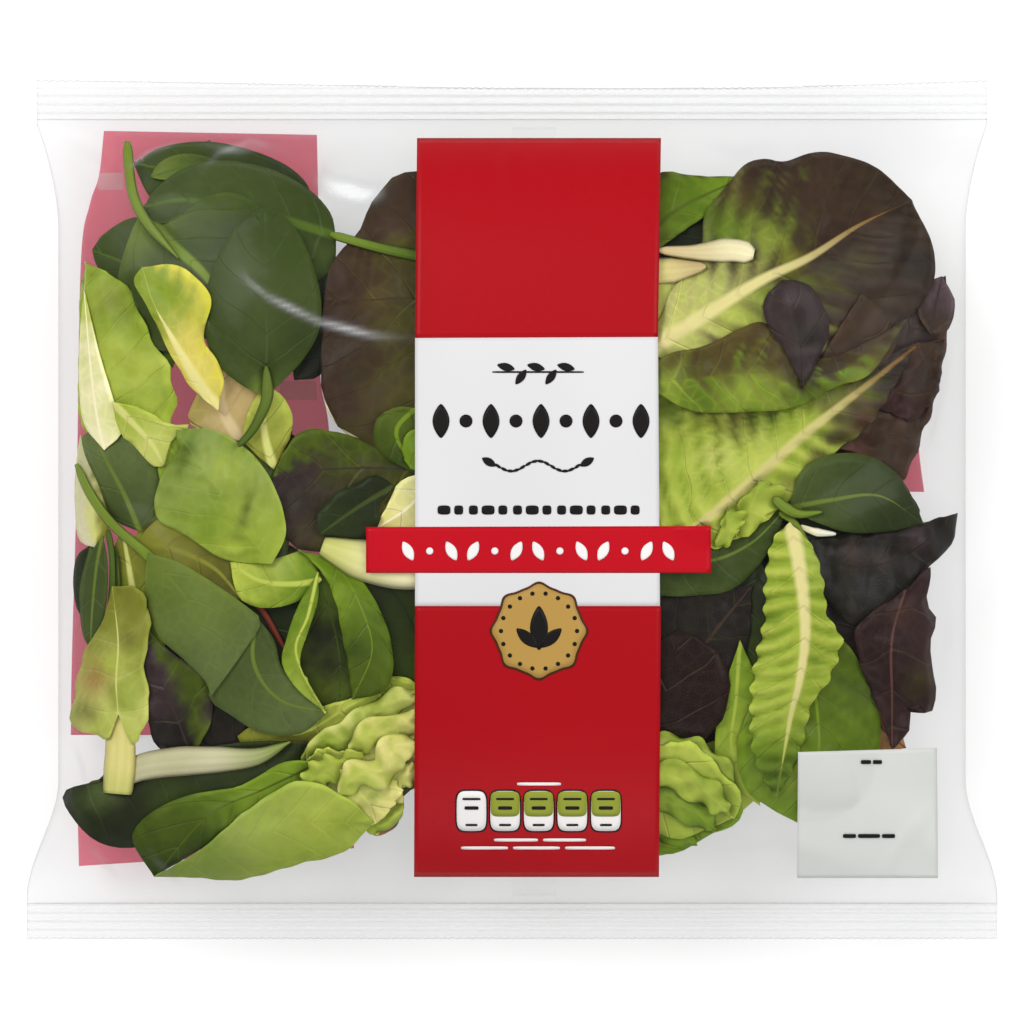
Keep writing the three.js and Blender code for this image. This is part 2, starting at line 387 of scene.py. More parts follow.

# Leaf colours, as a screen shows them. shade, deepShade and lettuceShade serve mostly as painted shade, for
# leaves and hollows deep between the others
leafColours = {
    "spinachDark": (50, 60, 30), "spinach": (68, 81, 37), "spinachBlue": (76, 88, 46),
    "spinachGrey": (97, 109, 65), "spinachLight": (104, 118, 52), "shade": (40, 47, 24),
    "deepShade": (30, 31, 22), "stem": (118, 136, 54), "stemDark": (84, 104, 38),
    "lettuce": (148, 161, 70), "lettuceLight": (172, 180, 88), "lettuceYellow": (200, 190, 84),
    "lettuceGold": (205, 190, 106), "lettuceDeep": (112, 134, 38), "lettuceDark": (84, 98, 28),
    "lettuceShade": (62, 76, 20), "olive": (128, 128, 52), "oliveDark": (90, 88, 36),
    "cream": (224, 217, 184), "creamYellow": (207, 199, 136), "creamGreen": (190, 190, 120),
    "ribPale": (201, 193, 138), "ribOlive": (186, 179, 120), "creamRose": (196, 178, 140),
    "beige": (178, 158, 112), "brown": (68, 52, 40), "brownOlive": (92, 80, 42),
    "brownRose": (94, 66, 58), "purple": (64, 52, 52), "purpleDark": (42, 36, 33),
    "purpleRed": (58, 38, 38), "purpleLight": (96, 78, 84), "plum": (44, 28, 26),
    "creamGrey": (190, 186, 156), "oliveVein": (120, 108, 60), "blush": (160, 124, 88),
    "redStem": (124, 62, 50), "white": (222, 222, 214), "sage": (134, 148, 80),
    "ribBrown": (124, 92, 50),
}


# Each leaf is drawn by its left edge, rib and right edge, from base to tip, by points of the photograph.
# deep is how far it lies below the film, in millimetres; blade gives its colours at base and tip.
def leafAt(base, tip, left, rib, right, **look):
    return dict(look, left=[base, *left, tip], rib=[base, *rib, tip], right=[base, *right, tip])


spinachKind = {
    "piece": "spinachLeaves", "streak": 0.3, "thickness": 0.4, "ribRise": -0.2, "crinkle": 0.45,
    "crinkleSize": 11, "frill": 0.0, "frillCount": 6, "ridge": 0.12, "ridgeSpacing": 7, "slant": 0.8,
    "material": {"name": "spinachLeaf", "veinSpacing": 9.5, "veinSlant": 0.85, "veinWidth": 0.055,
                 "netScale": 300, "veinStrength": 0.26, "netStrength": 0.14,
                 "veinGain": (1.5, 1.45, 1.3, 1.0), "veinLift": (0.012, 0.016, 0.006, 1.0),
                 "shade": (0.72, 0.76, 0.66, 1.0), "light": (1.25, 1.2, 1.3, 1.0),
                 "relief": 0.5, "rough": 0.44, "shine": 0.12},
}
spinachKind["leaves"] = [
    leafAt((318, 214), (133, 163), deep=8, left=[(304, 180), (270, 157), (215, 142), (165, 146)],
           rib=[(262, 186), (200, 176)], right=[(290, 240), (240, 245), (190, 225), (152, 200)],
           blade=("spinachDark", "spinach"), ribLook=("stemDark", 1.2)),
    leafAt((228, 168), (150, 177), deep=6.6, left=[(205, 156), (180, 154), (160, 162)],
           rib=[(190, 166)], right=[(205, 178), (175, 181)], blade=("spinach", "spinachLight"),
           ribLook=("stemDark", 0.8)),
    leafAt((336, 237), (143, 207), deep=5.2, left=[(330, 212), (306, 187), (268, 168), (220, 160),
           (184, 168), (156, 188)], rib=[(290, 222), (225, 205), (180, 200)], right=[(335, 262),
           (326, 286), (290, 302), (240, 290), (190, 260), (156, 228)],
           blade=("spinach", "spinachBlue"), ribLook=("stemDark", 1.6), cup=-1.0),
    leafAt((172, 368), (92, 250), deep=6.2, left=[(146, 338), (124, 300), (98, 268)], rib=[(152, 310),
           (130, 268)], right=[(190, 320), (182, 262), (142, 218), (106, 232)],
           blade=("shade", "spinach"), ribLook=("stemDark", 1.0)),
    leafAt((140, 212), (236, 322), deep=3.4, left=[(126, 246), (117, 288), (130, 330), (172, 352)],
           rib=[(166, 240), (204, 274)], right=[(163, 224), (188, 210), (206, 196), (240, 194),
           (272, 222), (270, 280)], blade=("spinachLight", "spinach"), ribLook=("stem", 2.0),
           bladeTurn=(0.0, 0.5)),
    leafAt((264, 396), (264, 207), deep=1.0, left=[(240, 384), (216, 362), (204, 330), (206, 290),
           (222, 246), (244, 218)], rib=[(267, 340), (264, 270)], right=[(282, 382), (304, 358),
           (319, 330), (320, 292), (304, 242), (284, 216)], blade=("spinach", "spinach"),
           ribLook=("spinachBlue", 0.5), ribEnd=0.5, cup=-0.7, crinkle=0.8,
           spots=[((300, 330), 24, "spinachDark", 0.5), ((235, 300), 20, "spinachBlue", 0.4),
           ((262, 390), 12, "stem", 0.7)]),
    leafAt((294, 380), (328, 272), deep=4.6, left=[(290, 340), (300, 300)], rib=[(308, 340)],
           right=[(321, 374), (328, 330)], blade=("deepShade", "shade"), ribLook=("shade", 0.5)),
    # a small spinach leaf whose lighter grey tip is a painted highlight
    leafAt((140, 532), (92, 429), deep=2.2, left=[(112, 518), (98, 484), (86, 458), (82, 438)],
           rib=[(124, 494), (104, 456)], right=[(158, 510), (161, 480), (148, 448), (120, 430)],
           blade=("spinach", "spinachGrey"), ribLook=("spinachLight", 0.8), cup=-0.5),
    leafAt((250, 566), (262, 452), deep=4.4, left=[(214, 520), (214, 470), (236, 440)],
           rib=[(252, 500)], right=[(284, 560), (289, 520), (284, 484)],
           blade=("spinachDark", "spinach"), ribLook=("stemDark", 0.8)),
    leafAt((148, 553), (211, 697), deep=1.0, left=[(145, 586), (156, 632), (184, 660), (204, 680)],
           rib=[(186, 598), (206, 642)], right=[(178, 562), (212, 582), (246, 606), (261, 622),
           (246, 648)], blade=("spinachLight", "spinachGrey"), ribLook=("spinachLight", 0.7), cup=-0.5,
           ribEnd=0.6, veined=0.5),
    leafAt((256, 616), (328, 712), deep=1.9, left=[(232, 650), (208, 694), (232, 716), (262, 733),
           (300, 734)], rib=[(254, 664), (280, 700)], right=[(274, 640), (282, 668), (304, 692)],
           blade=("spinachBlue", "spinachGrey"), ribLook=("spinachLight", 0.7), cup=-0.4, veined=0.5),
    leafAt((102, 536), (90, 650), deep=1.8, left=[(86, 562), (80, 600), (82, 632)], rib=[(96, 570),
           (92, 612)], right=[(107, 566), (106, 604), (98, 634)], blade=("spinach", "spinachBlue"),
           ribLook=("spinachLight", 0.5)),
    leafAt((92, 544), (82, 618), deep=4.0, left=[(77, 556), (73, 582), (76, 606)], rib=[(84, 572),
           (80, 594)], right=[(96, 580), (92, 606)], blade=("shade", "spinachDark"),
           ribLook=("stemDark", 0.4)),
    leafAt((394, 486), (320, 534), deep=1.9, left=[(376, 475), (352, 485), (330, 498), (316, 520)],
           rib=[(360, 506)], right=[(379, 506), (380, 520), (368, 538), (344, 541)],
           blade=("shade", "spinachDark"), ribLook=("spinach", 0.8), frill=0.7, frillCount=5),
    leafAt((424, 450), (424, 500), deep=4.8, left=[(380, 462), (358, 480), (380, 500)],
           rib=[(400, 478)], right=[(436, 476)], blade=("shade", "shade"), ribLook=("shade", 0.5)),
    leafAt((430, 700), (360, 570), deep=5.2, left=[(396, 680), (376, 630), (352, 580)], rib=[(418, 640),
           (396, 596)], right=[(446, 640), (430, 580), (390, 562)], blade=("lettuceShade", "shade"),
           ribLook=("shade", 0.6)),
    leafAt((236, 594), (300, 700), deep=6.0, left=[(240, 640), (262, 690)], rib=[(268, 630)],
           right=[(290, 588), (322, 620), (320, 670)], blade=("shade", "spinachDark"),
           ribLook=("shade", 0.6)),
    leafAt((789, 508), (924, 524), deep=2.0, left=[(800, 474), (824, 456), (862, 454), (894, 470),
           (912, 496)], rib=[(832, 500), (880, 496)], right=[(812, 520), (846, 532), (884, 532)],
           blade=("spinachBlue", "spinachDark"), ribLook=("spinachLight", 0.8), ribEnd=0.8, cup=-0.4,
           crinkle=0.9),
    leafAt((640, 548), (790, 504), deep=3.4, left=[(636, 590), (680, 596), (724, 592), (752, 574),
           (772, 544)], rib=[(700, 562), (750, 544)], right=[(690, 520), (740, 508), (770, 500)],
           blade=("spinachBlue", "spinach"), ribLook=("spinachLight", 0.7), cup=-0.5, crinkle=0.9,
           frill=0.4),
    leafAt((760, 560), (742, 750), deep=4.6, left=[(726, 600), (720, 660), (722, 720)], rib=[(748, 640),
           (742, 700)], right=[(790, 620), (784, 700)], blade=("shade", "lettuceShade"),
           ribLook=("shade", 0.6)),
    leafAt((640, 250), (720, 206), deep=5.6, left=[(660, 230), (700, 200)], rib=[(690, 228)],
           right=[(690, 254), (716, 240)], blade=("deepShade", "shade"), ribLook=("deepShade", 0.5)),
    leafAt((96, 782), (322, 744), deep=2.6, left=[(116, 766), (150, 757), (205, 748), (262, 742)],
           rib=[(150, 768), (215, 764)], right=[(66, 790), (66, 808), (96, 841), (140, 847), (210, 824),
           (274, 786)], blade=("shade", "spinachDark"), ribLook=("shade", 0.5), crinkle=0.9,
           spots=[((98, 792), 17, "spinachGrey", 0.75), ((172, 800), 26, "spinach", 0.7),
           ((120, 828), 20, "deepShade", 0.5)]),
    leafAt((180, 700), (260, 762), deep=7.4, left=[(170, 720), (190, 760)], rib=[(210, 730)],
           right=[(230, 700), (262, 730)], blade=("purpleDark", "oliveDark"), ribLook=("shade", 0.5)),
    leafAt((826, 470), (900, 540), deep=6.0, left=[(800, 500), (800, 540), (840, 556)],
           rib=[(840, 520)], right=[(880, 470), (920, 510)], blade=("shade", "deepShade"),
           ribLook=("shade", 0.5)),
]

lettuceKind = {
    "piece": "greenLettuceLeaves", "streak": 1.0, "thickness": 0.45, "ribRise": 0.5, "crinkle": 1.3,
    "crinkleSize": 8, "frill": 0.5, "frillCount": 9, "ridge": 0.3, "ridgeSpacing": 6, "slant": 0.7,
    "material": {"name": "lettuceLeaf", "veinSpacing": 9.0, "veinSlant": 0.9, "veinWidth": 0.07,
                 "netScale": 260, "veinStrength": 0.4, "netStrength": 0.12,
                 "veinGain": (1.3, 1.25, 1.35, 1.0), "veinLift": (0.03, 0.03, 0.012, 1.0),
                 "shade": (0.66, 0.74, 0.42, 1.0), "light": (1.2, 1.15, 1.3, 1.0),
                 "relief": 0.9, "rough": 0.48, "shine": 0.12},
}
lettuceKind["leaves"] = [
    # the green leaf on the left, with its broad pale rib
    leafAt((96, 446), (86, 262), deep=2.6, left=[(80, 420), (78, 380), (79, 330), (80, 290)],
           rib=[(94, 404), (88, 360), (84, 310)], right=[(150, 446), (173, 420), (171, 374), (146, 330),
           (126, 286)], blade=("lettuceLight", "lettuce"), ribLook=("cream", 2.4), cup=-0.8,
           crinkle=2.2, valley=0.35, ridge=0.5, ribEnd=0.8, fine=0.7, frill=0.9,
           spots=[((112, 300), 16, "olive", 0.6), ((150, 372), 18, "lettuceLight", 0.8),
           ((162, 392), 10, "lettuceDeep", 0.5), ((118, 350), 16, "lettuceLight", 0.7)]),
    leafAt((104, 450), (84, 290), deep=1.9, left=[(84, 424), (79, 384), (80, 330)], rib=[(96, 410),
           (90, 360)], right=[(122, 430), (112, 396), (98, 350)], blade=("cream", "lettuceLight"),
           ribLook=("cream", 0.4), frill=0.1, ridge=0.0, ribRise=0.4, bladeTurn=(0.4, 0.9), veined=0.1),
    leafAt((112, 402), (164, 466), deep=1.2, left=[(120, 432), (140, 452), (152, 466)], rib=[(136, 426),
           (152, 444)], right=[(140, 408), (170, 424), (192, 426), (172, 440)],
           blade=("lettuceLight", "creamGreen"), ribLook=("creamGreen", 1.2), frill=1.0),
    # the yellow heart leaf
    leafAt((218, 411), (142, 267), deep=1.0, left=[(190, 386), (164, 342), (146, 304), (133, 282)],
           rib=[(199, 384), (172, 338), (153, 302)], right=[(223, 372), (205, 342), (209, 297),
           (194, 273), (166, 265)], blade=("lettuceGold", "lettuce"), ribLook=("creamYellow", 2.2),
           ribEnd=0.7, crinkle=2.2, crinkleSize=6, edgeB=("lettuceYellow", 0.6), veined=0.3, frill=1.4,
           frillCount=5, fine=0.62, ridge=0.4, valley=0.2, bladeTurn=(0.3, 0.8),
           spots=[((192, 336), 16, "lettuceGold", 0.8), ((166, 290), 18, "lettuce", 0.6)]),
    # pale bases that show between the others
    leafAt((96, 548), (80, 434), deep=3.0, left=[(79, 540), (75, 510), (75, 474)], rib=[(90, 520),
           (86, 480)], right=[(108, 530), (108, 500), (98, 466)], blade=("creamGreen", "creamGrey"),
           ribLook=("creamGrey", 0.0), edgeA=("creamGrey", 0.1), edgeB=("olive", 0.3), veined=0.2,
           crinkle=0.4, frill=0.1),
    leafAt((244, 446), (226, 360), deep=5.0, left=[(206, 436), (188, 416), (206, 380)],
           rib=[(222, 406)], right=[(260, 414), (250, 382)], blade=("beige", "beige"),
           ribLook=("creamRose", 2.0), crinkle=0.3),
    leafAt((274, 470), (264, 384), deep=4.4, left=[(244, 440), (250, 408)], rib=[(264, 430)],
           right=[(292, 430), (286, 400)], blade=("olive", "lettuceLight"),
           ribLook=("creamGreen", 1.4)),
    # the round crinkled leaf; its dark spots are painted shade along its folds
    leafAt((272, 564), (176, 430), deep=1.1, left=[(226, 560), (190, 538), (156, 516), (160, 478),
           (176, 452)], rib=[(236, 520), (206, 474)], right=[(286, 532), (276, 490), (252, 454),
           (214, 430)], blade=("lettuce", "sage"), ribLook=("lettuce", 0.0), crinkle=3.0, ribRise=0.2,
           ridge=0.5, valley=0.18, fine=0.5, veined=0.3, crinkleSize=10, cup=-0.8, frill=0.1,
           spots=[((250, 496), 7, "lettuceDark", 0.6), ((247, 508), 7, "lettuceDark", 0.8),
           ((243, 522), 7, "lettuceDark", 0.7), ((236, 534), 8, "lettuceDark", 0.4),
           ((188, 448), 7, "lettuceDark", 0.6), ((180, 470), 6, "lettuceDark", 0.5),
           ((206, 534), 14, "lettuceDeep", 0.6), ((184, 456), 9, "lettuceDark", 0.5),
           ((166, 494), 9, "lettuceDark", 0.4), ((232, 548), 16, "lettuceLight", 0.5),
           ((262, 480), 14, "sage", 0.7), ((222, 470), 16, "lettuceLight", 0.35)]),
    leafAt((196, 500), (190, 428), deep=2.2, left=[(168, 494), (158, 470), (168, 440)],
           rib=[(178, 464)], right=[(198, 464)], blade=("lettuceDeep", "lettuce"),
           ribLook=("lettuce", 0.8)),
    # yellow-green leaves between the spinach leaves
    leafAt((128, 542), (242, 600), deep=3.2, left=[(160, 566), (200, 588)], rib=[(170, 548),
           (214, 568)], right=[(156, 520), (196, 532), (236, 556)], blade=("olive", "oliveDark"),
           ribLook=("olive", 1.0)),
    leafAt((140, 664), (122, 526), deep=5.4, left=[(118, 610), (112, 560)], rib=[(134, 600)],
           right=[(166, 640), (156, 570)], blade=("lettuceDeep", "olive"), ribLook=("creamGreen", 1.4)),
    # light green with a purple blush, and its pale stub
    leafAt((118, 714), (112, 586), deep=0.9, left=[(106, 740), (90, 732), (71, 728), (74, 694),
           (84, 652), (102, 622)], rib=[(116, 680), (118, 640)], right=[(132, 744), (144, 728),
           (149, 700), (144, 664), (150, 624), (140, 590)], blade=("creamGreen", "olive"),
           ribLook=("creamGreen", 0.6), ribEnd=0.8, crinkle=2.4, crinkleSize=7, frill=1.0, ridge=0.5,
           valley=0.25, fine=0.7, veined=0.5, spots=[((94, 680), 17, "blush", 0.9),
           ((82, 712), 12, "oliveDark", 0.7), ((112, 690), 9, "olive", 0.8),
           ((128, 696), 16, "lettuce", 0.7), ((112, 664), 10, "lettuceLight", 0.8),
           ((128, 640), 9, "oliveDark", 0.5)]),
    # the curled leaf: hollow, outer band, flap; the dark spots and colours in the hollow are painted shade
    leafAt((302, 552), (338, 711), deep=4.2, left=[(300, 600), (286, 642), (288, 676), (312, 700)],
           rib=[(326, 600), (340, 660)], right=[(346, 574), (378, 618), (390, 658), (380, 694)],
           blade=("lettuceShade", "lettuceDark"), ribLook=("lettuceShade", 0.3), ribRise=0.0,
           spots=[((322, 636), 26, "deepShade", 0.95), ((332, 670), 24, "deepShade", 1.0),
           ((338, 692), 20, "lettuceDark", 0.6), ((330, 590), 16, "lettuceDark", 0.8)]),
    leafAt((298, 550), (352, 700), deep=1.5, left=[(322, 572), (336, 604), (342, 636), (348, 664)],
           rib=[(340, 572), (362, 610), (372, 652)], right=[(348, 566), (380, 610), (393, 656),
           (386, 690)], blade=("lettuceDeep", "lettuceDark"), ribLook=("lettuceDeep", 0.3), cup=-0.8,
           crinkle=0.6, ribRise=0.0, spots=[((338, 598), 12, "lettuce", 0.5),
           ((352, 650), 14, "lettuceShade", 0.8), ((368, 690), 16, "lettuceDark", 0.8)]),
    leafAt((318, 572), (326, 713), deep=1.0, left=[(298, 606), (286, 640), (282, 664), (298, 690)],
           rib=[(308, 616), (296, 654)], right=[(318, 600), (308, 632), (300, 660), (308, 686)],
           blade=("lettuceDeep", "lettuce"), ribLook=("lettuceLight", 0.5), cup=-0.5, crinkle=0.3,
           frill=0.1),
    leafAt((322, 580), (230, 562), deep=2.8, left=[(296, 602), (262, 608), (238, 596)], rib=[(290, 584),
           (258, 580)], right=[(306, 552), (270, 560)], blade=("lettuceDeep", "lettuceLight"),
           ribLook=("lettuceLight", 1.0), crinkle=0.9),
    # the folded leaf at the bottom left: inner side, then flap
    leafAt((318, 764), (154, 877), deep=1.7, left=[(284, 762), (240, 786), (190, 795), (152, 812),
           (132, 838)], rib=[(262, 790), (208, 816)], right=[(310, 784), (262, 806), (222, 836)],
           blade=("lettuceDeep", "lettuceShade"), ribLook=("lettuceDark", 0.4), crinkle=0.9, frill=0.1,
           spots=[((170, 820), 20, "lettuceDark", 0.7), ((250, 790), 16, "lettuceDeep", 0.6),
           ((196, 842), 16, "lettuceShade", 0.7)]),
    leafAt((154, 877), (374, 822), deep=0.9, left=[(196, 878), (240, 880), (300, 864), (344, 852)],
           rib=[(226, 852), (296, 824)], right=[(200, 850), (250, 808), (300, 781), (346, 798)],
           blade=("sage", "lettuce"), ribLook=("sage", 0.0), crinkle=2.0, crinkleSize=9, cup=-0.6,
           frill=0.4, veined=0.35, fine=0.7, spots=[((320, 820), 22, "lettuceLight", 0.7),
           ((352, 830), 14, "lettuce", 0.7)]),
    # pale frilled leaves at the bottom of the left side; their dark spots are painted shade between the
    # frills
    leafAt((430, 690), (246, 752), deep=5.0, left=[(392, 676), (370, 712), (310, 742)], rib=[(380, 724),
           (320, 748)], right=[(430, 750), (340, 776)], blade=("lettuceLight", "olive"),
           ribLook=("creamGreen", 1.6), frill=0.8),
    leafAt((256, 724), (392, 684), deep=3.8, left=[(238, 736), (250, 750), (300, 752), (352, 724)],
           rib=[(300, 734), (350, 706)], right=[(300, 712), (346, 700)],
           blade=("olive", "lettuceLight"), ribLook=("lettuceLight", 0.8)),
    leafAt((424, 700), (300, 770), deep=2.6, left=[(380, 712), (350, 730), (308, 748)],
           rib=[(376, 738)], right=[(424, 768), (360, 790)], blade=("creamGreen", "lettuce"),
           ribLook=("creamYellow", 0.6), frill=2.0, crinkle=2.4, crinkleSize=8, frillCount=9, fine=0.55,
           spots=[((340, 752), 10, "lettuceDark", 0.8), ((372, 742), 9, "lettuceDark", 0.6),
           ((396, 716), 10, "creamYellow", 0.6)]),
    leafAt((414, 724), (306, 762), deep=1.7, left=[(380, 734), (350, 752), (322, 748)],
           rib=[(372, 756)], right=[(410, 780), (372, 790), (334, 786)],
           blade=("creamYellow", "lettuceLight"), ribLook=("creamGreen", 0.4), frill=2.2, crinkle=2.4,
           crinkleSize=7, frillCount=8, fine=0.5, spots=[((352, 768), 9, "lettuceDark", 0.7),
           ((388, 762), 8, "olive", 0.6)]),
    leafAt((340, 770), (384, 818), deep=1.2, left=[(344, 800), (366, 826)], rib=[(362, 796)],
           right=[(380, 776), (402, 790)], blade=("lettuceLight", "creamYellow"),
           ribLook=("creamGreen", 0.4), frill=2.0, crinkle=2.0, crinkleSize=6, fine=0.5,
           spots=[((372, 796), 8, "lettuceDeep", 0.7)]),
    leafAt((300, 764), (378, 836), deep=2.0, left=[(304, 790), (340, 812)], rib=[(332, 788)],
           right=[(342, 768), (392, 800)], blade=("lettuce", "lettuceLight"),
           ribLook=("creamGreen", 0.8), frill=1.0),
    leafAt((416, 408), (420, 476), deep=1.4, left=[(392, 408), (374, 424), (378, 450), (400, 466)],
           rib=[(396, 434)], right=[(434, 440)], blade=("lettuceDark", "lettuceShade"),
           ribLook=("lettuceDeep", 0.8), crinkle=0.5),
    leafAt((424, 428), (424, 470), deep=1.0, left=[(408, 432), (402, 450), (410, 468)],
           rib=[(414, 450)], right=[(432, 450)], blade=("lettuceDeep", "lettuceDeep"),
           ribLook=("lettuceDeep", 0.6)),
    leafAt((440, 470), (374, 530), deep=2.6, left=[(402, 480), (388, 504)], rib=[(410, 506)],
           right=[(440, 540), (402, 534)], blade=("cream", "creamYellow"), ribLook=("cream", 0.6)),
    # right side: green leaf above the red one
    leafAt((640, 262), (746, 176), deep=4.0, left=[(650, 230), (644, 190), (660, 172), (700, 176)],
           rib=[(668, 216)], right=[(690, 226), (722, 204)], blade=("lettuceDark", "lettuceDeep"),
           ribLook=("lettuceDark", 0.8), edgeA=("brownOlive", 0.75)),
    # pale ribbed leaf under the fold of the red one; dark spots along its top edge are painted shade from the
    # fold
    leafAt((690, 530), (916, 346), deep=3.0, left=[(646, 520), (636, 430), (652, 392), (700, 380),
           (760, 376), (830, 372)], rib=[(745, 487), (800, 438), (850, 398)], right=[(714, 548),
           (750, 530), (788, 502), (806, 474), (838, 450), (868, 426), (892, 390)],
           blade=("lettuceLight", "purple"), ribLook=("ribOlive", 2.3), ribFade=("ribBrown", 0.5),
           frill=0.9, frillCount=13, fine=0.62, bladeTurn=(0.5, 0.85), ridge=1.3, ridgeSpacing=5.6,
           slant=0.9, ribRise=1.0, valley=0.85, fold=0.6, spots=[((716, 458), 26, "creamGreen", 0.75),
           ((672, 480), 18, "lettuceLight", 0.8), ((764, 444), 14, "creamGreen", 0.5),
           ((735, 418), 20, "brownOlive", 0.9), ((700, 412), 18, "brownOlive", 0.8),
           ((664, 414), 16, "lettuceDark", 0.9), ((770, 412), 16, "lettuceDark", 0.8),
           ((830, 410), 16, "brownOlive", 0.6), ((862, 420), 28, "brownRose", 1.0),
           ((820, 462), 13, "brownRose", 0.8), ((842, 436), 12, "purpleRed", 0.7),
           ((790, 484), 9, "brownRose", 0.6), ((900, 380), 26, "purple", 0.9)]),
    leafAt((728, 508), (738, 534), deep=2.2, left=[(716, 540), (724, 549)], rib=[(728, 530)],
           right=[(746, 514)], crinkle=1.6, crinkleSize=5, frill=1.6, ruffle=4, fold=0.7, veined=0.1,
           blade=("lettuce", "lettuceLight"), ribLook=("lettuce", 0.0)),
    leafAt((760, 480), (766, 516), deep=2.3, left=[(738, 506), (738, 532), (754, 532)],
           rib=[(752, 510)], right=[(780, 486), (782, 502)], crinkle=1.8, crinkleSize=5, frill=1.8,
           ruffle=4, frillCount=4, fold=0.7, veined=0.1, fine=0.6, blade=("lettuce", "lettuceLight"),
           ribLook=("lettuce", 0.0)),
    # broad green leaf, its light border, the crinkled ribbed leaf on it
    leafAt((806, 636), (800, 824), deep=2.6, left=[(842, 640), (866, 676), (881, 730), (868, 790),
           (840, 816)], rib=[(816, 700), (818, 760)], right=[(762, 690), (738, 740), (744, 786),
           (770, 808)], blade=("lettuceDark", "lettuceDeep"), ribLook=("lettuceDeep", 0.5), crinkle=1.2,
           frill=0.1, ridge=0.5, valley=0.2, spots=[((792, 770), 20, "lettuce", 0.6),
           ((858, 700), 14, "spinach", 0.5)]),
    leafAt((740, 640), (760, 806), deep=3.8, left=[(724, 690), (715, 740), (722, 776)], rib=[(736, 700),
           (732, 752)], right=[(764, 700), (760, 760)], blade=("lettuceDeep", "lettuce"),
           ribLook=("lettuce", 0.6), crinkle=0.6, frill=0.1),
    leafAt((790, 522), (776, 800), deep=1.2, fine=0.5, left=[(812, 546), (823, 580), (828, 616),
           (842, 640), (828, 682), (812, 704), (798, 760)], rib=[(798, 560), (804, 604), (805, 642),
           (799, 684), (790, 720)], right=[(772, 542), (765, 586), (764, 622), (755, 664), (751, 704),
           (754, 756)], blade=("lettuceLight", "lettuceDeep"), ribLook=("ribPale", 2.3),
           ribFade=("lettuce", 0.5), ribEnd=0.86, crinkle=1.1, ridge=1.3, ribRise=1.2, valley=0.9,
           ridgeSpacing=4.4, slant=0.3, frill=1.6, frillCount=15, fold=0.5, bladeTurn=(0.45, 0.95),
           spots=[((782, 770), 26, "lettuceDark", 0.6), ((772, 620), 12, "lettuceDeep", 0.45),
           ((815, 660), 10, "lettuceDeep", 0.5)]),
    # pale frilled leaf under the print, bottom right
    leafAt((644, 750), (734, 818), deep=1.8, left=[(690, 742), (720, 770), (742, 798)],
           rib=[(676, 786)], right=[(636, 820), (680, 838)], blade=("lettuceLight", "lettuce"),
           ribLook=("creamGreen", 0.6), frill=1.2, crinkle=1.2, frillCount=12),
    leafAt((640, 780), (716, 832), deep=3.2, left=[(700, 790), (742, 800), (738, 822)],
           rib=[(680, 820)], right=[(630, 840), (672, 854)], blade=("lettuceDeep", "lettuceDeep"),
           ribLook=("lettuce", 0.9), frill=1.4, frillCount=14),
    leafAt((630, 810), (678, 848), deep=2.4, left=[(664, 820), (682, 836)], rib=[(654, 840)],
           right=[(630, 850), (660, 856)], blade=("lettuceDeep", "lettuceDeep"),
           ribLook=("lettuce", 0.6), frill=1.0),
    # pale base of the red leaf
    leafAt((640, 352), (760, 244), deep=3.0, left=[(640, 300), (672, 262), (720, 236)],
           rib=[(690, 300)], right=[(700, 330), (750, 290)], blade=("creamGreen", "lettuceLight"),
           ribLook=("creamGreen", 1.0), crinkle=0.5),
]

# Frilled edges as wavy strips: middle line, half of the breadth in pixels, depth, colours
ruffles = [
    ([(306, 768), (326, 746), (350, 738), (372, 716), (420, 690)], 15, 2.0, "lettuce", "creamGreen"),
    ([(352, 758), (366, 736), (392, 730), (420, 712)], 14, 1.6, "lettuceLight", "creamYellow"),
    ([(304, 790), (322, 772), (344, 770), (362, 752)], 15, 1.5, "lettuce", "lettuceLight"),
    ([(338, 796), (358, 774), (382, 772), (396, 748), (420, 744)], 16, 1.0, "lettuceLight", "creamYellow"),
    ([(318, 806), (340, 792), (352, 800), (372, 790)], 13, 1.8, "lettuce", "creamGreen"),
    ([(362, 800), (384, 798), (394, 778), (420, 770)], 15, 1.3, "creamGreen", "creamYellow"),
    ([(346, 830), (362, 812), (382, 822), (402, 800)], 13, 1.7, "lettuce", "lettuceLight"),
    ([(634, 752), (672, 750), (706, 764), (736, 794)], 17, 1.8, "creamGreen", "lettuce"),
    ([(634, 780), (668, 776), (700, 788), (730, 814)], 15, 1.2, "lettuceLight", "lettuce"),
    ([(634, 806), (664, 802), (694, 812), (716, 830)], 14, 1.5, "lettuce", "lettuceDeep"),
    ([(634, 834), (658, 830), (680, 836), (696, 846)], 11, 1.9, "lettuceDeep", "lettuceDeep"),
]


def ruffleRow(place, spot):
    line, half, deep, base, tip = spot
    middle = np.array(smoothLine(line, np.linspace(0, 1, 9))).T
    ahead = np.gradient(middle, axis=0)
    ahead = ahead / np.hypot(*ahead.T)[:, None]
    out = np.stack([ahead[:, 1], -ahead[:, 0]], axis=1)
    width = half * np.sin(math.pi * np.linspace(0, 1, 9)).clip(0, 1)[:, None] ** 0.3
    left, right = middle + out * width, middle - out * width
    # the ruffles carry painted shade in their frill troughs and a faint painted rim highlight
    return dict(deep=deep, left=left.tolist(), rib=middle.tolist(), right=right.tolist(),
                blade=(base, tip), edgeA=(tip, 0.5), ribLook=(base, 0.0), ribRise=0.0, veined=0.0,
                frill=1.8, ruffle=5.5, frillCount=(2, 3, 4)[place % 3], crinkle=2.4, crinkleSize=6,
                ridge=0.5, ridgeSpacing=5.5, slant=0.4, valley=0.3, fold=0.9, cup=-0.9, margin=0.1, fine=0.42)


lettuceKind["leaves"] += [ruffleRow(place, spot) for place, spot in enumerate(ruffles)]

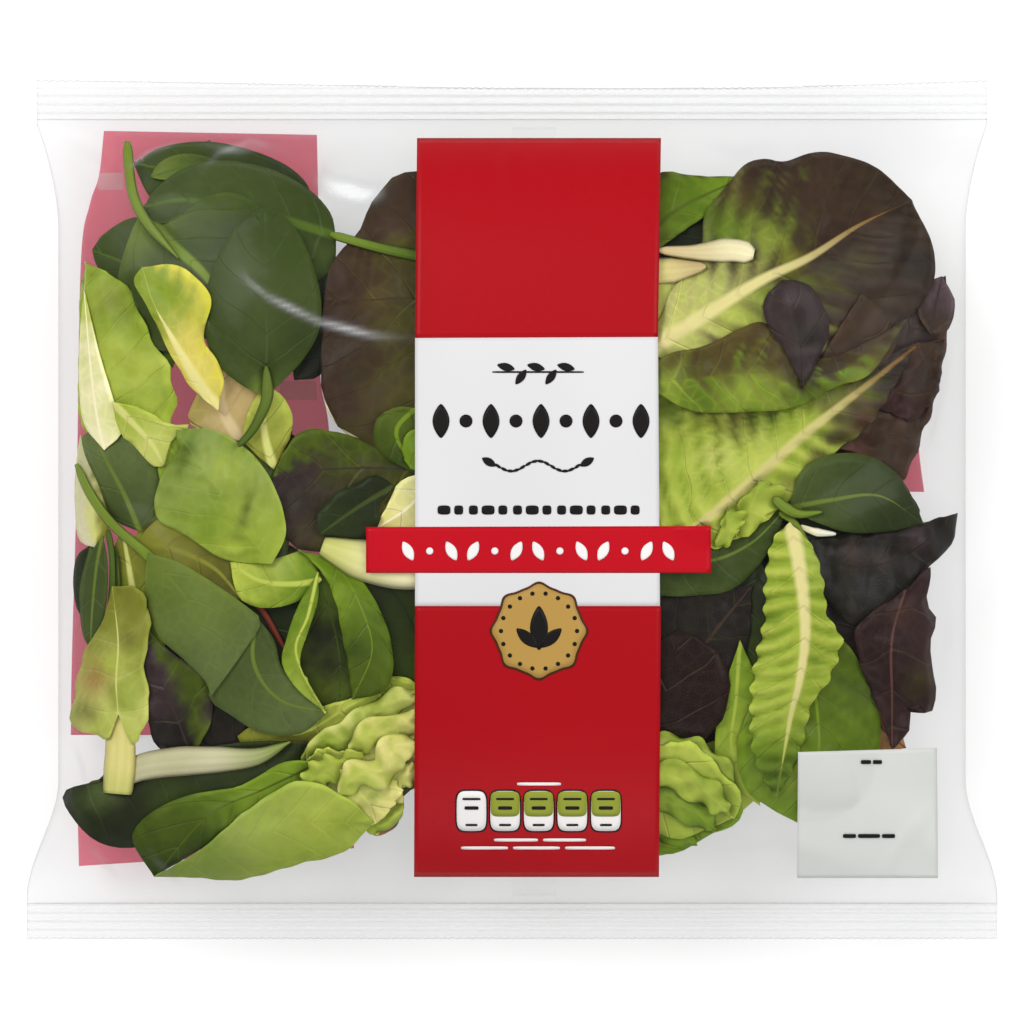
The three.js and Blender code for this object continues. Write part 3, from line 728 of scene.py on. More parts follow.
redKind = {
    "piece": "redLettuceLeaves", "streak": 1.0, "thickness": 0.45, "ribRise": 0.2, "crinkle": 1.2,
    "crinkleSize": 9, "frill": 0.4, "frillCount": 8, "ridge": 0.25, "ridgeSpacing": 7, "slant": 0.7,
    "material": {"name": "redLettuceLeaf", "veinSpacing": 11.0, "veinSlant": 0.8, "veinWidth": 0.06,
                 "netScale": 240, "veinStrength": 0.34, "netStrength": 0.16, "veinGain": (1.5, 1.6, 1.2, 1.0),
                 "veinLift": (0.02, 0.02, 0.004, 1.0), "shade": (0.6, 0.6, 0.62, 1.0),
                 "light": (1.3, 1.2, 1.15, 1.0), "relief": 0.8, "rough": 0.42, "shine": 0.12},
}
redKind["leaves"] = [
    # the big brown leaf on the left, which runs under the print
    leafAt((490, 330), (324, 300), deep=3.0, left=[(470, 210), (420, 170), (380, 190), (358, 232),
           (332, 262)], rib=[(420, 300), (370, 300)], right=[(470, 420), (420, 446), (376, 446),
           (336, 422), (321, 380)], blade=("oliveDark", "brown"), ribLook=("brown", 0.3),
           blotch=("brown", 0.4, 12), crinkle=1.6, crinkleSize=13,
           spots=[((398, 246), 16, "oliveDark", 0.7), ((380, 296), 14, "oliveVein", 0.35),
           ((404, 320), 12, "oliveDark", 0.5), ((350, 380), 24, "purpleDark", 0.5)]),
    # purple leaf with a green top
    leafAt((424, 470), (272, 478), deep=3.8, left=[(380, 446), (340, 433), (304, 430), (284, 452)],
           rib=[(370, 468), (320, 470)], right=[(400, 530), (340, 552), (292, 545), (276, 510)],
           blade=("oliveDark", "purple"), ribLook=("purple", 0.3), edgeA=("lettuceDark", 0.3),
           crinkle=1.8, edgeWander=4, spots=[((345, 458), 18, "lettuceDark", 0.8),
           ((396, 462), 16, "lettuceShade", 0.8), ((300, 500), 18, "purpleDark", 0.6)]),
    # purple and green leaf, lower left
    leafAt((192, 758), (121, 600), deep=3.0, left=[(158, 748), (144, 706), (130, 664), (120, 620)],
           rib=[(172, 706), (146, 650)], right=[(212, 716), (204, 676), (170, 652), (140, 620)],
           blade=("purpleDark", "purpleLight"), ribLook=("purple", 0.3), edgeB=("lettuceDark", 0.2),
           blotch=("purple", 0.5, 8), crinkle=1.3, spots=[((188, 690), 12, "lettuceDark", 0.7),
           ((214, 715), 9, "purpleLight", 0.6), ((152, 736), 12, "deepShade", 0.7),
           ((134, 634), 14, "purple", 0.9), ((148, 672), 14, "purple", 0.9),
           ((166, 706), 14, "purple", 0.7)]),
    leafAt((250, 748), (200, 700), deep=4.0, left=[(210, 752), (190, 742)], rib=[(222, 730)],
           right=[(246, 718), (222, 702)], blade=("purpleDark", "deepShade"),
           ribLook=("purpleDark", 0.8)),
    leafAt((330, 776), (284, 742), deep=3.4, left=[(290, 764), (270, 750)], rib=[(300, 754)],
           right=[(326, 748), (300, 742)], blade=("purpleLight", "brownOlive"),
           ribLook=("purple", 0.6)),
    leafAt((368, 826), (400, 810), deep=3.0, left=[(376, 836), (396, 826)], rib=[(384, 824)],
           right=[(380, 812)], blade=("blush", "purple"), ribLook=("blush", 0.6)),
    # the big red-brown leaf at the top right, then its folded side
    dict(deep=2.0, left=[(646, 350), (672, 290), (700, 246), (706, 214), (738, 172), (764, 158),
         (786, 160), (832, 152), (880, 170), (912, 200)], rib=[(646, 352), (700, 318), (760, 281),
         (810, 257), (858, 226), (912, 200)], right=[(646, 350), (690, 372), (750, 372), (810, 372),
         (860, 352), (900, 326), (926, 296), (936, 256), (912, 200)], ribEnd=0.9,
         blade=("creamGreen", "brown"), ribLook=("ribPale", 2.4), ribFade=("ribBrown", 0.42),
         bladeTurn=(0.16, 0.5), cup=-1.0, fine=0.62, ribRise=0.9, ridge=0.5, ridgeSpacing=6.5,
         valley=0.3, streak=1.5, spots=[((706, 212), 22, "lettuceDark", 0.9),
         ((730, 232), 22, "lettuceDeep", 0.9), ((768, 236), 20, "lettuce", 0.75),
         ((790, 262), 14, "olive", 0.7), ((745, 196), 14, "brownOlive", 0.7),
         ((700, 290), 26, "creamGreen", 0.9), ((735, 316), 20, "lettuceLight", 0.7),
         ((770, 300), 20, "lettuce", 0.8), ((800, 300), 14, "lettuceDeep", 0.7),
         ((826, 280), 14, "oliveDark", 0.8), ((860, 262), 14, "brownOlive", 0.6),
         ((915, 262), 20, "purpleDark", 0.6)]),
    leafAt((644, 384), (908, 318), deep=1.1, left=[(664, 356), (704, 346), (738, 330), (764, 322),
           (788, 346), (822, 358), (868, 342)], rib=[(700, 376), (760, 372), (830, 374)],
           right=[(690, 410), (744, 412), (796, 407), (836, 387), (872, 372)],
           blade=("brownOlive", "brown"), ribLook=("brownOlive", 0.0), edgeB=("lettuceDeep", -0.1),
           ribRise=0.0, edgeWander=6, crinkle=1.0, frill=0.15, ridge=0.5, ridgeSpacing=6, valley=0.25,
           streak=1.5, fine=0.62, spots=[((664, 388), 26, "lettuce", 0.9),
           ((740, 396), 22, "lettuce", 0.9), ((780, 396), 18, "lettuce", 0.8),
           ((722, 362), 22, "brownOlive", 0.8), ((806, 384), 16, "brown", 0.8),
           ((880, 340), 24, "brown", 0.9), ((886, 364), 20, "brownOlive", 0.95),
           ((900, 338), 18, "brown", 0.95), ((858, 384), 14, "olive", 0.6)]),
    leafAt((796, 396), (862, 294), deep=1.5, left=[(822, 356), (846, 318)], rib=[(846, 358),
           (866, 330)], right=[(862, 378), (896, 346), (884, 312)], blade=("brown", "brown"),
           ribLook=("brown", 0.1), ribRise=0.0, crinkle=0.7),
    # the dark curl on it
    leafAt((802, 388), (782, 280), deep=0.9, left=[(786, 352), (768, 326), (764, 300)], rib=[(800, 340),
           (794, 306)], right=[(818, 360), (830, 326), (816, 292), (800, 281)],
           blade=("purple", "purple"), ribLook=("deepShade", 0.1), ribRise=-0.5, crinkle=1.4,
           crinkleSize=6, cup=-0.8, spots=[((800, 318), 9, "plum", 0.9),
           ((812, 336), 8, "deepShade", 0.9), ((790, 300), 7, "purpleLight", 0.5)]),
    # dark purple leaves on the right
    leafAt((834, 446), (946, 276), deep=3.6, left=[(826, 388), (846, 326), (890, 290)], rib=[(866, 392),
           (900, 340)], right=[(876, 462), (903, 479), (922, 436), (938, 388), (948, 330)],
           blade=("brown", "purple"), ribLook=("brown", 0.3), blotch=("brownRose", 0.4, 9), frill=0.7,
           crinkle=3.2, crinkleSize=8, fine=0.6, ridge=0.6, valley=0.3),
    leafAt((930, 334), (942, 276), deep=2.6, left=[(918, 310), (926, 284)], rib=[(936, 304)],
           right=[(948, 330), (955, 302)], blade=("brown", "purpleLight"), ribLook=("purple", 0.6)),
    leafAt((884, 410), (944, 340), deep=3.4, left=[(860, 400), (872, 372), (910, 346)],
           rib=[(904, 382)], right=[(916, 420), (938, 392)], blade=("purpleRed", "brown"),
           ribLook=("purpleRed", 0.2), crinkle=3.0, crinkleSize=7, fine=0.6, frill=0.9,
           spots=[((905, 352), 12, "brownRose", 0.7), ((880, 398), 12, "brownRose", 0.5)]),
    leafAt((810, 540), (958, 513), deep=3.0, left=[(850, 533), (902, 528)], rib=[(850, 566),
           (904, 556)], right=[(820, 592), (850, 622), (880, 626), (906, 594), (934, 562), (952, 544)],
           blade=("deepShade", "purpleDark"), ribLook=("deepShade", 0.3), frill=0.8, crinkle=2.6,
           crinkleSize=8, veined=0.4, ridge=0.5, valley=0.3, spots=[((850, 556), 16, "brownRose", 0.35),
           ((916, 538), 12, "purpleLight", 0.5), ((884, 560), 10, "brownRose", 0.3)]),
    leafAt((906, 590), (892, 750), deep=2.4, left=[(858, 626), (862, 668), (878, 706)], rib=[(892, 640),
           (892, 700)], right=[(932, 566), (926, 600), (938, 618), (929, 642), (934, 668), (933, 714),
           (914, 704), (908, 732)], blade=("purpleRed", "purpleRed"), ribLook=("brownRose", 0.5),
           frill=0.9, frillCount=7, crinkle=2.0, crinkleSize=9,
           spots=[((905, 610), 12, "brownRose", 0.5), ((918, 680), 12, "oliveDark", 0.4)]),
    leafAt((796, 556), (868, 722), deep=5.0, left=[(800, 620), (826, 690)], rib=[(826, 620)],
           right=[(850, 560), (884, 640)], blade=("purpleDark", "purpleDark"),
           ribLook=("purpleDark", 0.3)),
    leafAt((860, 690), (906, 748), deep=4.4, left=[(862, 730), (880, 752)], rib=[(882, 728)],
           right=[(892, 700)], blade=("brownRose", "blush"), ribLook=("brownRose", 0.6)),
    # dark leaves by the print's lower right edge
    leafAt((640, 748), (752, 586), deep=4.2, left=[(624, 660), (650, 604), (700, 588)], rib=[(680, 680),
           (716, 630)], right=[(700, 742), (728, 700), (748, 646)], blade=("purpleDark", "purpleDark"),
           ribLook=("brown", 0.9), crinkle=1.0),
    leafAt((640, 750), (680, 630), deep=3.2, left=[(632, 700), (640, 654)], rib=[(664, 700)],
           right=[(700, 742), (728, 704), (722, 656)], blade=("plum", "plum"), ribLook=("plum", 0.8),
           crinkle=0.9),
]

# Stalks and broad ribs: a line down the middle and half-widths in pixels of the photograph
stalkKind = {
    "piece": "stalksAndRibs", "cells": (10, 26), "thickness": 0.5,
    "material": {"name": "leafStalk", "veinSpacing": 3.0, "veinSlant": 0.0, "veinWidth": 0.1, "netScale": 500,
                 "veinStrength": 0.0, "netStrength": 0.05, "veinGain": (1.2, 1.2, 1.2, 1.0),
                 "veinLift": (0.01, 0.01, 0.01, 1.0), "shade": (0.84, 0.84, 0.76, 1.0),
                 "light": (1.08, 1.08, 1.1, 1.0), "relief": 0.3, "rough": 0.42, "shine": 0.12},
}
stalkKind["stalks"] = [
    dict(deep=2.2, line=[(330, 234), (362, 243), (390, 250), (430, 258)], half=[4.5, 5, 5.5, 6.5],
         colour=("stem", "stemDark"), rise=1.6),
    dict(deep=2.4, line=[(127, 141), (129, 170), (134, 198), (148, 224), (178, 258)], half=[5.5, 5, 5.5,
         5, 1.5], colour=("stem", "stem"), rise=1.4),
    dict(deep=0.7, line=[(266, 366), (267, 396), (260, 416), (250, 433), (238, 446)], half=[3, 6.5, 5.5,
         4.5, 3.5], colour=("spinachLight", "stemDark"), rise=1.5),
    dict(deep=1.2, line=[(76, 464), (90, 494), (112, 524), (146, 554), (176, 586)], half=[4, 5, 5, 5.5,
         2], colour=("stem", "stem"), rise=1.3),
    dict(deep=2.2, line=[(108, 530), (112, 565), (110, 610), (98, 650)], half=[3.5, 3.5, 4, 3],
         colour=("stemDark", "stemDark"), rise=1.2),
    dict(deep=3.2, line=[(115, 552), (117, 590), (108, 640)], half=[2.5, 3, 2.5],
         colour=("stemDark", "olive"), rise=1.0),
    dict(deep=1.4, line=[(774, 498), (786, 508), (800, 514), (822, 512)], half=[5, 6, 4, 2],
         colour=("stem", "stem"), rise=1.4),
    dict(deep=2.4, line=[(780, 512), (796, 524), (808, 544), (818, 562)], half=[4, 3, 2.5, 2],
         colour=("stem", "stem"), rise=1.0),
    dict(deep=1.0, line=[(430, 566), (396, 566), (362, 560), (322, 546)], half=[24, 23, 20, 10],
         colour=("cream", "creamGreen"), rise=2.6, blunt=True),
    dict(deep=1.0, line=[(658, 250), (696, 252), (732, 250), (754, 254)], half=[4, 7, 12, 11],
         colour=("creamRose", "cream"), rise=1.6),
    dict(deep=1.8, line=[(640, 272), (672, 270), (706, 266)], half=[14, 13, 4],
         colour=("creamYellow", "creamRose"), rise=1.6),
    dict(deep=1.5, line=[(112, 782), (140, 768), (176, 762), (216, 760), (256, 757), (290, 742)],
         half=[10, 14, 15, 13, 9, 2], colour=("creamGrey", "sage"), rise=2.0, turns=(0.5, 1.0)),
    dict(deep=1.0, line=[(117, 794), (119, 770), (120, 744), (118, 716), (117, 690)], half=[15, 16, 15,
         13, 9], colour=("creamGreen", "creamYellow"), rise=1.8, blunt=True, turns=(0.0, 0.3)),
    dict(deep=4.8, line=[(248, 598), (262, 610), (274, 630), (284, 648)], half=[3, 3, 3.5, 3],
         colour=("redStem", "redStem"), rise=1.0),
    dict(deep=4.2, line=[(326, 404), (340, 424), (358, 438), (378, 444)], half=[2, 3, 3, 1.5],
         colour=("cream", "cream"), rise=0.8),
    dict(deep=2.6, line=[(800, 526), (816, 532), (836, 534)], half=[2, 4.5, 2],
         colour=("cream", "white"), rise=0.8),
]


# The underside of all that lies above, so that each leaf settles below the film and the leaves on it
roof = {"step": 0.5, "halfX": 134, "halfY": 119, "gap": 0.35, "clear": 0.2, "blend": 0.3}
roofX, roofY = np.meshgrid(np.arange(-roof["halfX"], roof["halfX"] + 0.1, roof["step"]),
                           np.arange(-roof["halfY"], roof["halfY"] + 0.1, roof["step"]), indexing="ij")
roofMap = frontHeight(roofX, roofY) - roof["gap"]


def spreadOut(values, reach, pick):
    # each cell takes the pick of all cells within reach
    for axis in (0, 1):
        values = pick([np.roll(values, shift, axis) for shift in range(-reach, reach + 1)], axis=0)
    return values


def roofCells(x, y):
    i = np.clip((x + roof["halfX"]) / roof["step"], 0, roofMap.shape[0] - 1.01)
    j = np.clip((y + roof["halfY"]) / roof["step"], 0, roofMap.shape[1] - 1.01)
    return i, j


def roofOver(x, y):
    low = spreadOut(spreadOut(roofMap, 2, np.min), 3, np.mean)
    i, j = roofCells(x, y)
    a, b = i.astype(int), j.astype(int)
    s, t = i - a, j - b
    return ((low[a, b] * (1 - s) + low[a + 1, b] * s) * (1 - t)
            + (low[a, b + 1] * (1 - s) + low[a + 1, b + 1] * s) * t)


def finer(values, across, times=6):
    # the same grid with more steps between its points
    grid = values.reshape(-1, across + 1)
    for _ in range(2):
        place = np.linspace(0, len(grid) - 1, (len(grid) - 1) * times + 1)
        low = np.minimum(place.astype(int), len(grid) - 2)
        share = (place - low)[:, None]
        grid = (grid[low] * (1 - share) + grid[low + 1] * share).T
    return grid


def layUnderRoof(x, y, z, across, thickness):
    # presses a leaf under the roof, then lowers the roof to its underside
    lowest = backHeight(x, y) + 0.8
    top = roofOver(x, y) - roof["clear"]
    z = 0.5 * (z + top - np.sqrt((z - top) ** 2 + roof["blend"] ** 2))
    z = np.maximum(z, lowest)
    i, j = roofCells(finer(x, across), finer(y, across))
    cells = (np.round(i).astype(int), np.round(j).astype(int))
    np.minimum.at(roofMap, cells, finer(z, across) - thickness)
    return z


def addValues(piece, name, kind, values):
    layer = piece.data.attributes.new(name, kind, "POINT")
    key = "color" if kind == "FLOAT_COLOR" else "value"
    layer.data.foreach_set(key, np.ascontiguousarray(values, dtype=np.float32).ravel())


def setFlatPlaces(piece, across, along):
    # the UV map holds each point's place on the flat leaf, in tenths of a metre
    corner = np.zeros(len(piece.data.loops), dtype=np.int32)
    piece.data.loops.foreach_get("vertex_index", corner)
    flat = np.stack([across, along], axis=1)[corner] / 100
    piece.data.uv_layers.active.data.foreach_set("uv", flat.ravel())


leafTone = {"gain": 1.25, "depth": 1.2}


def toned(name):
    return leafTone["gain"] * np.array(linear(leafColours[name])[:3]) ** leafTone["depth"]


leafCount = [0]
leafCells = {"along": 1.7, "across": 3.6, "alongRange": (14, 96), "acrossRange": (4, 17)}


def between(a, fromPoint, toPoint):
    # the share of the way, from 0 to 1
    return np.clip((a - fromPoint) / (toPoint - fromPoint), 0, 1)


def leafColour(row, u, v, x, y, seed, px=0.0, py=0.0, streaks=0.0):
    base, tip = (toned(name) for name in row["blade"])
    start, end = row.get("bladeTurn", (0.15, 0.85))
    wander = 0.12 * roughness(x, y, 0 * x, 14, seed) + 0.07 * streaks
    colour = mix(base, tip, ease(between(v + wander, start, end))[:, None])
    for key, side in (("edgeA", -u), ("edgeB", u)):
        if key in row:
            name, begins = row[key]
            share = ease(between(side + row.get("edgeWander", 2) * wander, begins, min(1.0, begins + 0.45)))
            colour = mix(colour, toned(name), share[:, None])
    for (spotX, spotY), reach, name, strength in row.get("spots", []):
        ragged = 1 + 0.5 * roughness(x, y, 0 * x, 5, seed + 9) + 0.22 * streaks
        share = strength * np.exp(-(np.hypot(px - spotX, py - spotY) * ragged / reach) ** 2)
        colour = mix(colour, toned(name), share[:, None])
    # painted highlight: a lighter line along each leaf's margin
    colour = colour * (1 + row.get("margin", 0.35) * (np.abs(u) > 0.995))[:, None]
    if "blotch" in row:
        name, level, size = row["blotch"]
        lumps = roughness(x, y, 0 * x, size, seed + 5) * 0.8 + 0.5 * (np.abs(u) - 0.5) + 0.5 * (v - 0.5)
        share = ease(between(lumps, level - 0.35, level + 0.05))
        colour = mix(colour, toned(name), share[:, None])
    return np.concatenate([colour, np.ones((len(u), 1))], axis=1)


def buildLeaf(row, kind):
    leafCount[0] += 1
    seed = leafCount[0] * 3.7
    unit = view["frameWidth"] / view["pixels"]
    ribLength = np.sum(np.hypot(*np.diff(np.array(row["rib"], float), axis=0).T)) * unit
    middle = np.linspace(0.1, 0.9, 7)
    across = np.array(smoothLine(row["left"], middle)) - np.array(smoothLine(row["right"], middle))
    breadth = np.max(np.hypot(*across)) * unit
    fine = row.get("fine", 1.0)
    cellsAlong = int(np.clip(ribLength / (leafCells["along"] * fine), *leafCells["alongRange"]))
    cellsAcross = 2 * int(np.clip(breadth / (leafCells["across"] * fine), *leafCells["acrossRange"]))
    leaf, u, v = newGrid(f"{kind['piece']}.{leafCount[0]:03d}", cellsAcross, cellsAlong)
    v = (v + 1) / 2
    along = ease(v) * 0.3 + v * 0.7
    ribX, ribY = smoothLine(row["rib"], along)
    leftX, leftY = smoothLine(row["left"], along)
    rightX, rightY = smoothLine(row["right"], along)
    a = np.abs(u) ** 1.25
    reachX = np.where(u < 0, leftX, rightX) - ribX
    reachY = np.where(u < 0, leftY, rightY) - ribY
    frill, count = row.get("frill", kind["frill"]), row.get("frillCount", kind["frillCount"])
    wave = np.sin(2 * math.pi * count * v + 1.9 * np.sign(u) + 2.2 * np.sin(5 * v + seed))
    spread = 1 + row.get("ruffle", frill) * 0.035 * a ** 3 * wave
    px, py = ribX + reachX * a * spread, ribY + reachY * a * spread
    deep = row["deep"]
    x, y, z = frontSpots(px, py, deep)
    acrossMm = np.hypot(reachX, reachY) * a * unit
    alongMm = along * ribLength
    slant, spacing = row.get("slant", kind["slant"]), row.get("ridgeSpacing", kind["ridgeSpacing"])
    phase = (alongMm - acrossMm * slant) / spacing + 0.35 * roughness(x, y, z, 9, seed + 3)
    relief = row.get("cup", 0.0) * a ** 2
    relief = relief + frill * a ** 3 * wave * 1.1
    crinkle, size = row.get("crinkle", kind["crinkle"]), row.get("crinkleSize", kind["crinkleSize"])
    relief = relief + crinkle * roughness(x, y, z, size, seed)
    relief = relief + 0.3 * crinkle * roughness(x, y, z, size * 0.4, seed + 7)
    ridge = row.get("ridge", kind["ridge"])
    relief = relief + ridge * np.cos(2 * math.pi * phase) * np.minimum(1, 4 * a) * (1 - 0.3 * a)
    ribName, ribHalf = row["ribLook"]
    ribReach = ribHalf * np.clip(1 - v / row.get("ribEnd", 1.1), 0, 1) ** 0.8 + 0.03
    relief = relief + row.get("ribRise", kind["ribRise"]) * np.exp(-(acrossMm / (ribReach + 0.8)) ** 2)
    z = layUnderRoof(x, y, z + relief, cellsAcross, kind["thickness"])
    setPlaces(leaf, x, y, z)
    streaks = np.cos(2 * math.pi * phase) * np.minimum(1, 3 * a) * row.get("streak", kind["streak"])
    colour = leafColour(row, u, v, x, y, seed, px, py, streaks)
    # painted shade: darker colour in the troughs of the ridges (valley) and of the frill waves (fold)
    valley = row.get("valley", 0.0) * (0.5 - 0.5 * np.cos(2 * math.pi * phase)) ** 1.8 * np.minimum(1, 3 * a)
    valley = np.maximum(valley, row.get("fold", 0.0) * (0.5 - 0.5 * wave) * a ** 1.5)
    colour[:, :3] = mix(colour[:, :3], colour[:, :3] * np.array([0.55, 0.68, 0.3]), valley[:, None])
    addValues(leaf, "leafColour", "FLOAT_COLOR", colour)
    ribEndName, turns = row.get("ribFade", (ribName, 0.5))
    ribTone = mix(toned(ribName), toned(ribEndName), ease(between(v, turns, turns + 0.45))[:, None])
    addValues(leaf, "ribColour", "FLOAT_COLOR", np.concatenate([ribTone, np.ones((len(u), 1))], axis=1))
    addValues(leaf, "veined", "FLOAT", np.full(len(u), row.get("veined", 1.0)))
    addValues(leaf, "fromRib", "FLOAT", acrossMm / ribReach)
    setFlatPlaces(leaf, acrossMm * np.sign(u), alongMm + leafCount[0] * 0.37)
    faceUp(leaf)
    return leaf


def faceUp(piece):
    # turns the faces over when most of them look down
    normals = np.zeros(len(piece.data.polygons) * 3)
    piece.data.polygons.foreach_get("normal", normals)
    areas = np.zeros(len(piece.data.polygons))
    piece.data.polygons.foreach_get("area", areas)
    if np.sum(normals.reshape(-1, 3)[:, 2] * areas) < 0:
        piece.data.flip_normals()


def buildStalk(row, kind):
    leafCount[0] += 1
    stalk, u, v = newGrid(f"{kind['piece']}.{leafCount[0]:03d}", *kind["cells"])
    v = (v + 1) / 2
    lineX, lineY = smoothLine(row["line"], v)
    aheadX, aheadY = smoothLine(row["line"], np.minimum(1, v + 0.02))
    behindX, behindY = smoothLine(row["line"], np.maximum(0, v - 0.02))
    dx, dy = aheadX - behindX, aheadY - behindY
    length = np.hypot(dx, dy) + 1e-9
    stations = np.linspace(0, 1, len(row["half"]))
    half = np.interp(v, stations, row["half"])
    steep = 30 if row.get("blunt") else 9
    ends = np.minimum(1, np.minimum(v + 0.03, 1.03 - v) * steep) ** 0.5
    half = half * ends
    px, py = lineX + dy / length * half * u, lineY - dx / length * half * u
    x, y, z = frontSpots(px, py, row["deep"])
    unit = view["frameWidth"] / view["pixels"]
    crown = row["rise"] * (np.sqrt(np.clip(1 - u ** 2, 0, 1)) - 1)
    strands = 0.10 * np.cos(u * 9 + 3 * v)
    z = layUnderRoof(x, y, z + crown + strands, kind["cells"][0], kind["thickness"])
    setPlaces(stalk, x, y, z)
    first, last = (toned(name) for name in row["colour"])
    colour = mix(first, last, ease(between(v, *row.get("turns", (0.0, 1.0))))[:, None])
    # painted shade: the stalk's rounded sides are darker; the faint cosine adds strands along it
    colour = colour * (1 - 0.22 * np.abs(u) ** 3 + 0.05 * np.cos(u * 11 + 2 * v))[:, None]
    colour = np.concatenate([colour, np.ones((len(u), 1))], axis=1)
    addValues(stalk, "leafColour", "FLOAT_COLOR", colour)
    addValues(stalk, "ribColour", "FLOAT_COLOR", colour)
    addValues(stalk, "fromRib", "FLOAT", np.full(len(u), 9.0))
    addValues(stalk, "veined", "FLOAT", np.full(len(u), 0.0))
    setFlatPlaces(stalk, u * half * unit, v * 40 + leafCount[0])
    faceUp(stalk)
    return stalk


# Loose leaves that fill the bag under the shown ones and behind the print
filling = {"loose": 240, "resting": 110, "seed": 11, "cells": (4, 9), "tries": 150, "reach": (108, 92),
           "longer": (0.8, 1.15), "wider": (0.8, 1.1), "aside": (45, 112), "asideSize": (0.72, 0.8),
           "restingSize": (0.8, 0.85), "belowFilm": 8.6, "belowShown": 1.2, "aboveBack": 0.6,
           "depth": (0.26, 0.72), "asideDepth": (0.5, 0.5), "restingDepth": (0.76, 0.26),
           "wave": (1.4, 16), "ripple": (0.25, 5)}
fillKinds = [
    ("spinach", 24, 8.5, ("spinach", "spinachBlue"), "stem"),
    ("spinach", 21, 7.5, ("spinachDark", "spinach"), "stemDark"),
    ("lettuce", 28, 12, ("lettuceLight", "lettuce"), "creamGreen"),
    ("lettuce", 25, 11, ("lettuce", "lettuceDeep"), "creamGreen"),
    ("red", 27, 12, ("purpleRed", "purpleDark"), "brownRose"),
    ("red", 28, 12, ("brownOlive", "brown"), "creamGreen"),
]


def makeMaterial(look):
    sheet = Sheet(look["name"])
    place = sheet.add("ShaderNodeUVMap")
    parts = sheet.nodes.new("ShaderNodeSeparateXYZ")
    sheet.links.new(place.socket, parts.inputs[0])
    across = Wire(sheet, parts.outputs[0]).size() * 100
    along = Wire(sheet, parts.outputs[1]) * 100
    patches = sheet.noise(55, 1.0, 0.6)
    phase = (along - across * look["veinSlant"]) / look["veinSpacing"] + patches * 0.7
    fromLine = (phase.part() - 0.5).size()
    vein = (1 - fromLine * (across * 0.06 + 1) / look["veinWidth"]).bounded()
    net = sheet.add("ShaderNodeTexVoronoi", {"feature": "DISTANCE_TO_EDGE"},
                    {"Vector": sheet.place(), "Scale": look["netScale"], "Randomness": 1.0})
    netLine = (1 - net * 7.0).bounded()
    broad = sheet.noise(22, 1.0, 0.55)
    grain = sheet.noise(420, 0.0, 0.6)
    blade = sheet.attribute("leafColour", "Color")
    dark = sheet.blend(1.0, blade, look["shade"], "MULTIPLY")
    bright = sheet.blend(1.0, blade, look["light"], "MULTIPLY")
    tone = sheet.blend(((patches - 0.32) * 2.6).bounded(), dark, blade)
    tone = sheet.blend(((broad - 0.5) * 2.4).bounded() * 0.7, tone, bright)
    veinTone = sheet.blend(1.0, blade, look["veinGain"], "MULTIPLY")
    veinTone = sheet.blend(1.0, veinTone, look["veinLift"], "ADD")
    veined = sheet.attribute("veined")
    lines = (vein * veined * look["veinStrength"] + netLine * look["netStrength"]).bounded()
    tone = sheet.blend(lines * (0.5 + grain), tone, veinTone)
    ribMask = ((1.3 - sheet.attribute("fromRib")) / 0.7).bounded()
    tone = sheet.blend(ribMask, tone, sheet.attribute("ribColour", "Color"))
    height = (grain * 0.4 - vein * veined * 0.8) * look["relief"] + patches * 1.2
    normal = sheet.bump(height, 0.6, 0.0007)
    rough = look["rough"] + grain * 0.2 - 0.1
    leafShader = sheet.add("ShaderNodeBsdfPrincipled", None, {
        "Base Color": tone, "Roughness": rough, "Normal": normal, "Specular IOR Level": look["shine"]})
    return sheet.finish(leafShader)


# Which parts of the front the shown leaves and the print cover, one cell for each millimetre
covered = {"halfX": 132, "halfY": 118, "printX": (-25, 40), "printY": (-97, 99), "spread": 0.6,
           "enough": 0.985}
coverage = np.zeros((2 * covered["halfX"], 2 * covered["halfY"]), dtype=bool)


def coverCells(x, y):
    i = np.clip(np.round(x + covered["halfX"]).astype(int), 0, coverage.shape[0] - 1)
    j = np.clip(np.round(y + covered["halfY"]).astype(int), 0, coverage.shape[1] - 1)
    return i, j


def markPiece(piece):
    places = np.zeros(len(piece.data.vertices) * 3)
    piece.data.vertices.foreach_get("co", places)
    places = places.reshape(-1, 3) * 1000
    for dx in (-covered["spread"], covered["spread"]):
        for dy in (-covered["spread"], covered["spread"]):
            coverage[coverCells(places[:, 0] + dx, places[:, 1] + dy)] = True


kinds = {"spinach": spinachKind, "lettuce": lettuceKind, "red": redKind}
leafParts = {key: [] for key in kinds}
stalks = []
queue = [(row["deep"], key, place) for key, kind in kinds.items() for place, row in enumerate(kind["leaves"])]
queue += [(row["deep"], "stalk", place) for place, row in enumerate(stalkKind["stalks"])]
for deep, key, place in sorted(queue):
    if key == "stalk":
        stalks.append(buildStalk(stalkKind["stalks"][place], stalkKind))
    else:
        leafParts[key].append(buildLeaf(kinds[key]["leaves"][place], kinds[key]))
for leaves in leafParts.values():
    for leaf in leaves:
        markPiece(leaf)
printI = slice(*(covered["halfX"] + x for x in covered["printX"]))
printJ = slice(*(covered["halfY"] + y for y in covered["printY"]))
coverage[printI, printJ] = True
print("shown leaves drawn:", leafCount[0])


lowRoof = spreadOut(roofMap, 3, np.min)


def shownRoof(x, y):
    i, j = roofCells(x, y)
    return lowRoof[i.astype(int), j.astype(int)]


def isCovered(x, y):
    return coverage[coverCells(x, y)].mean() > covered["enough"]


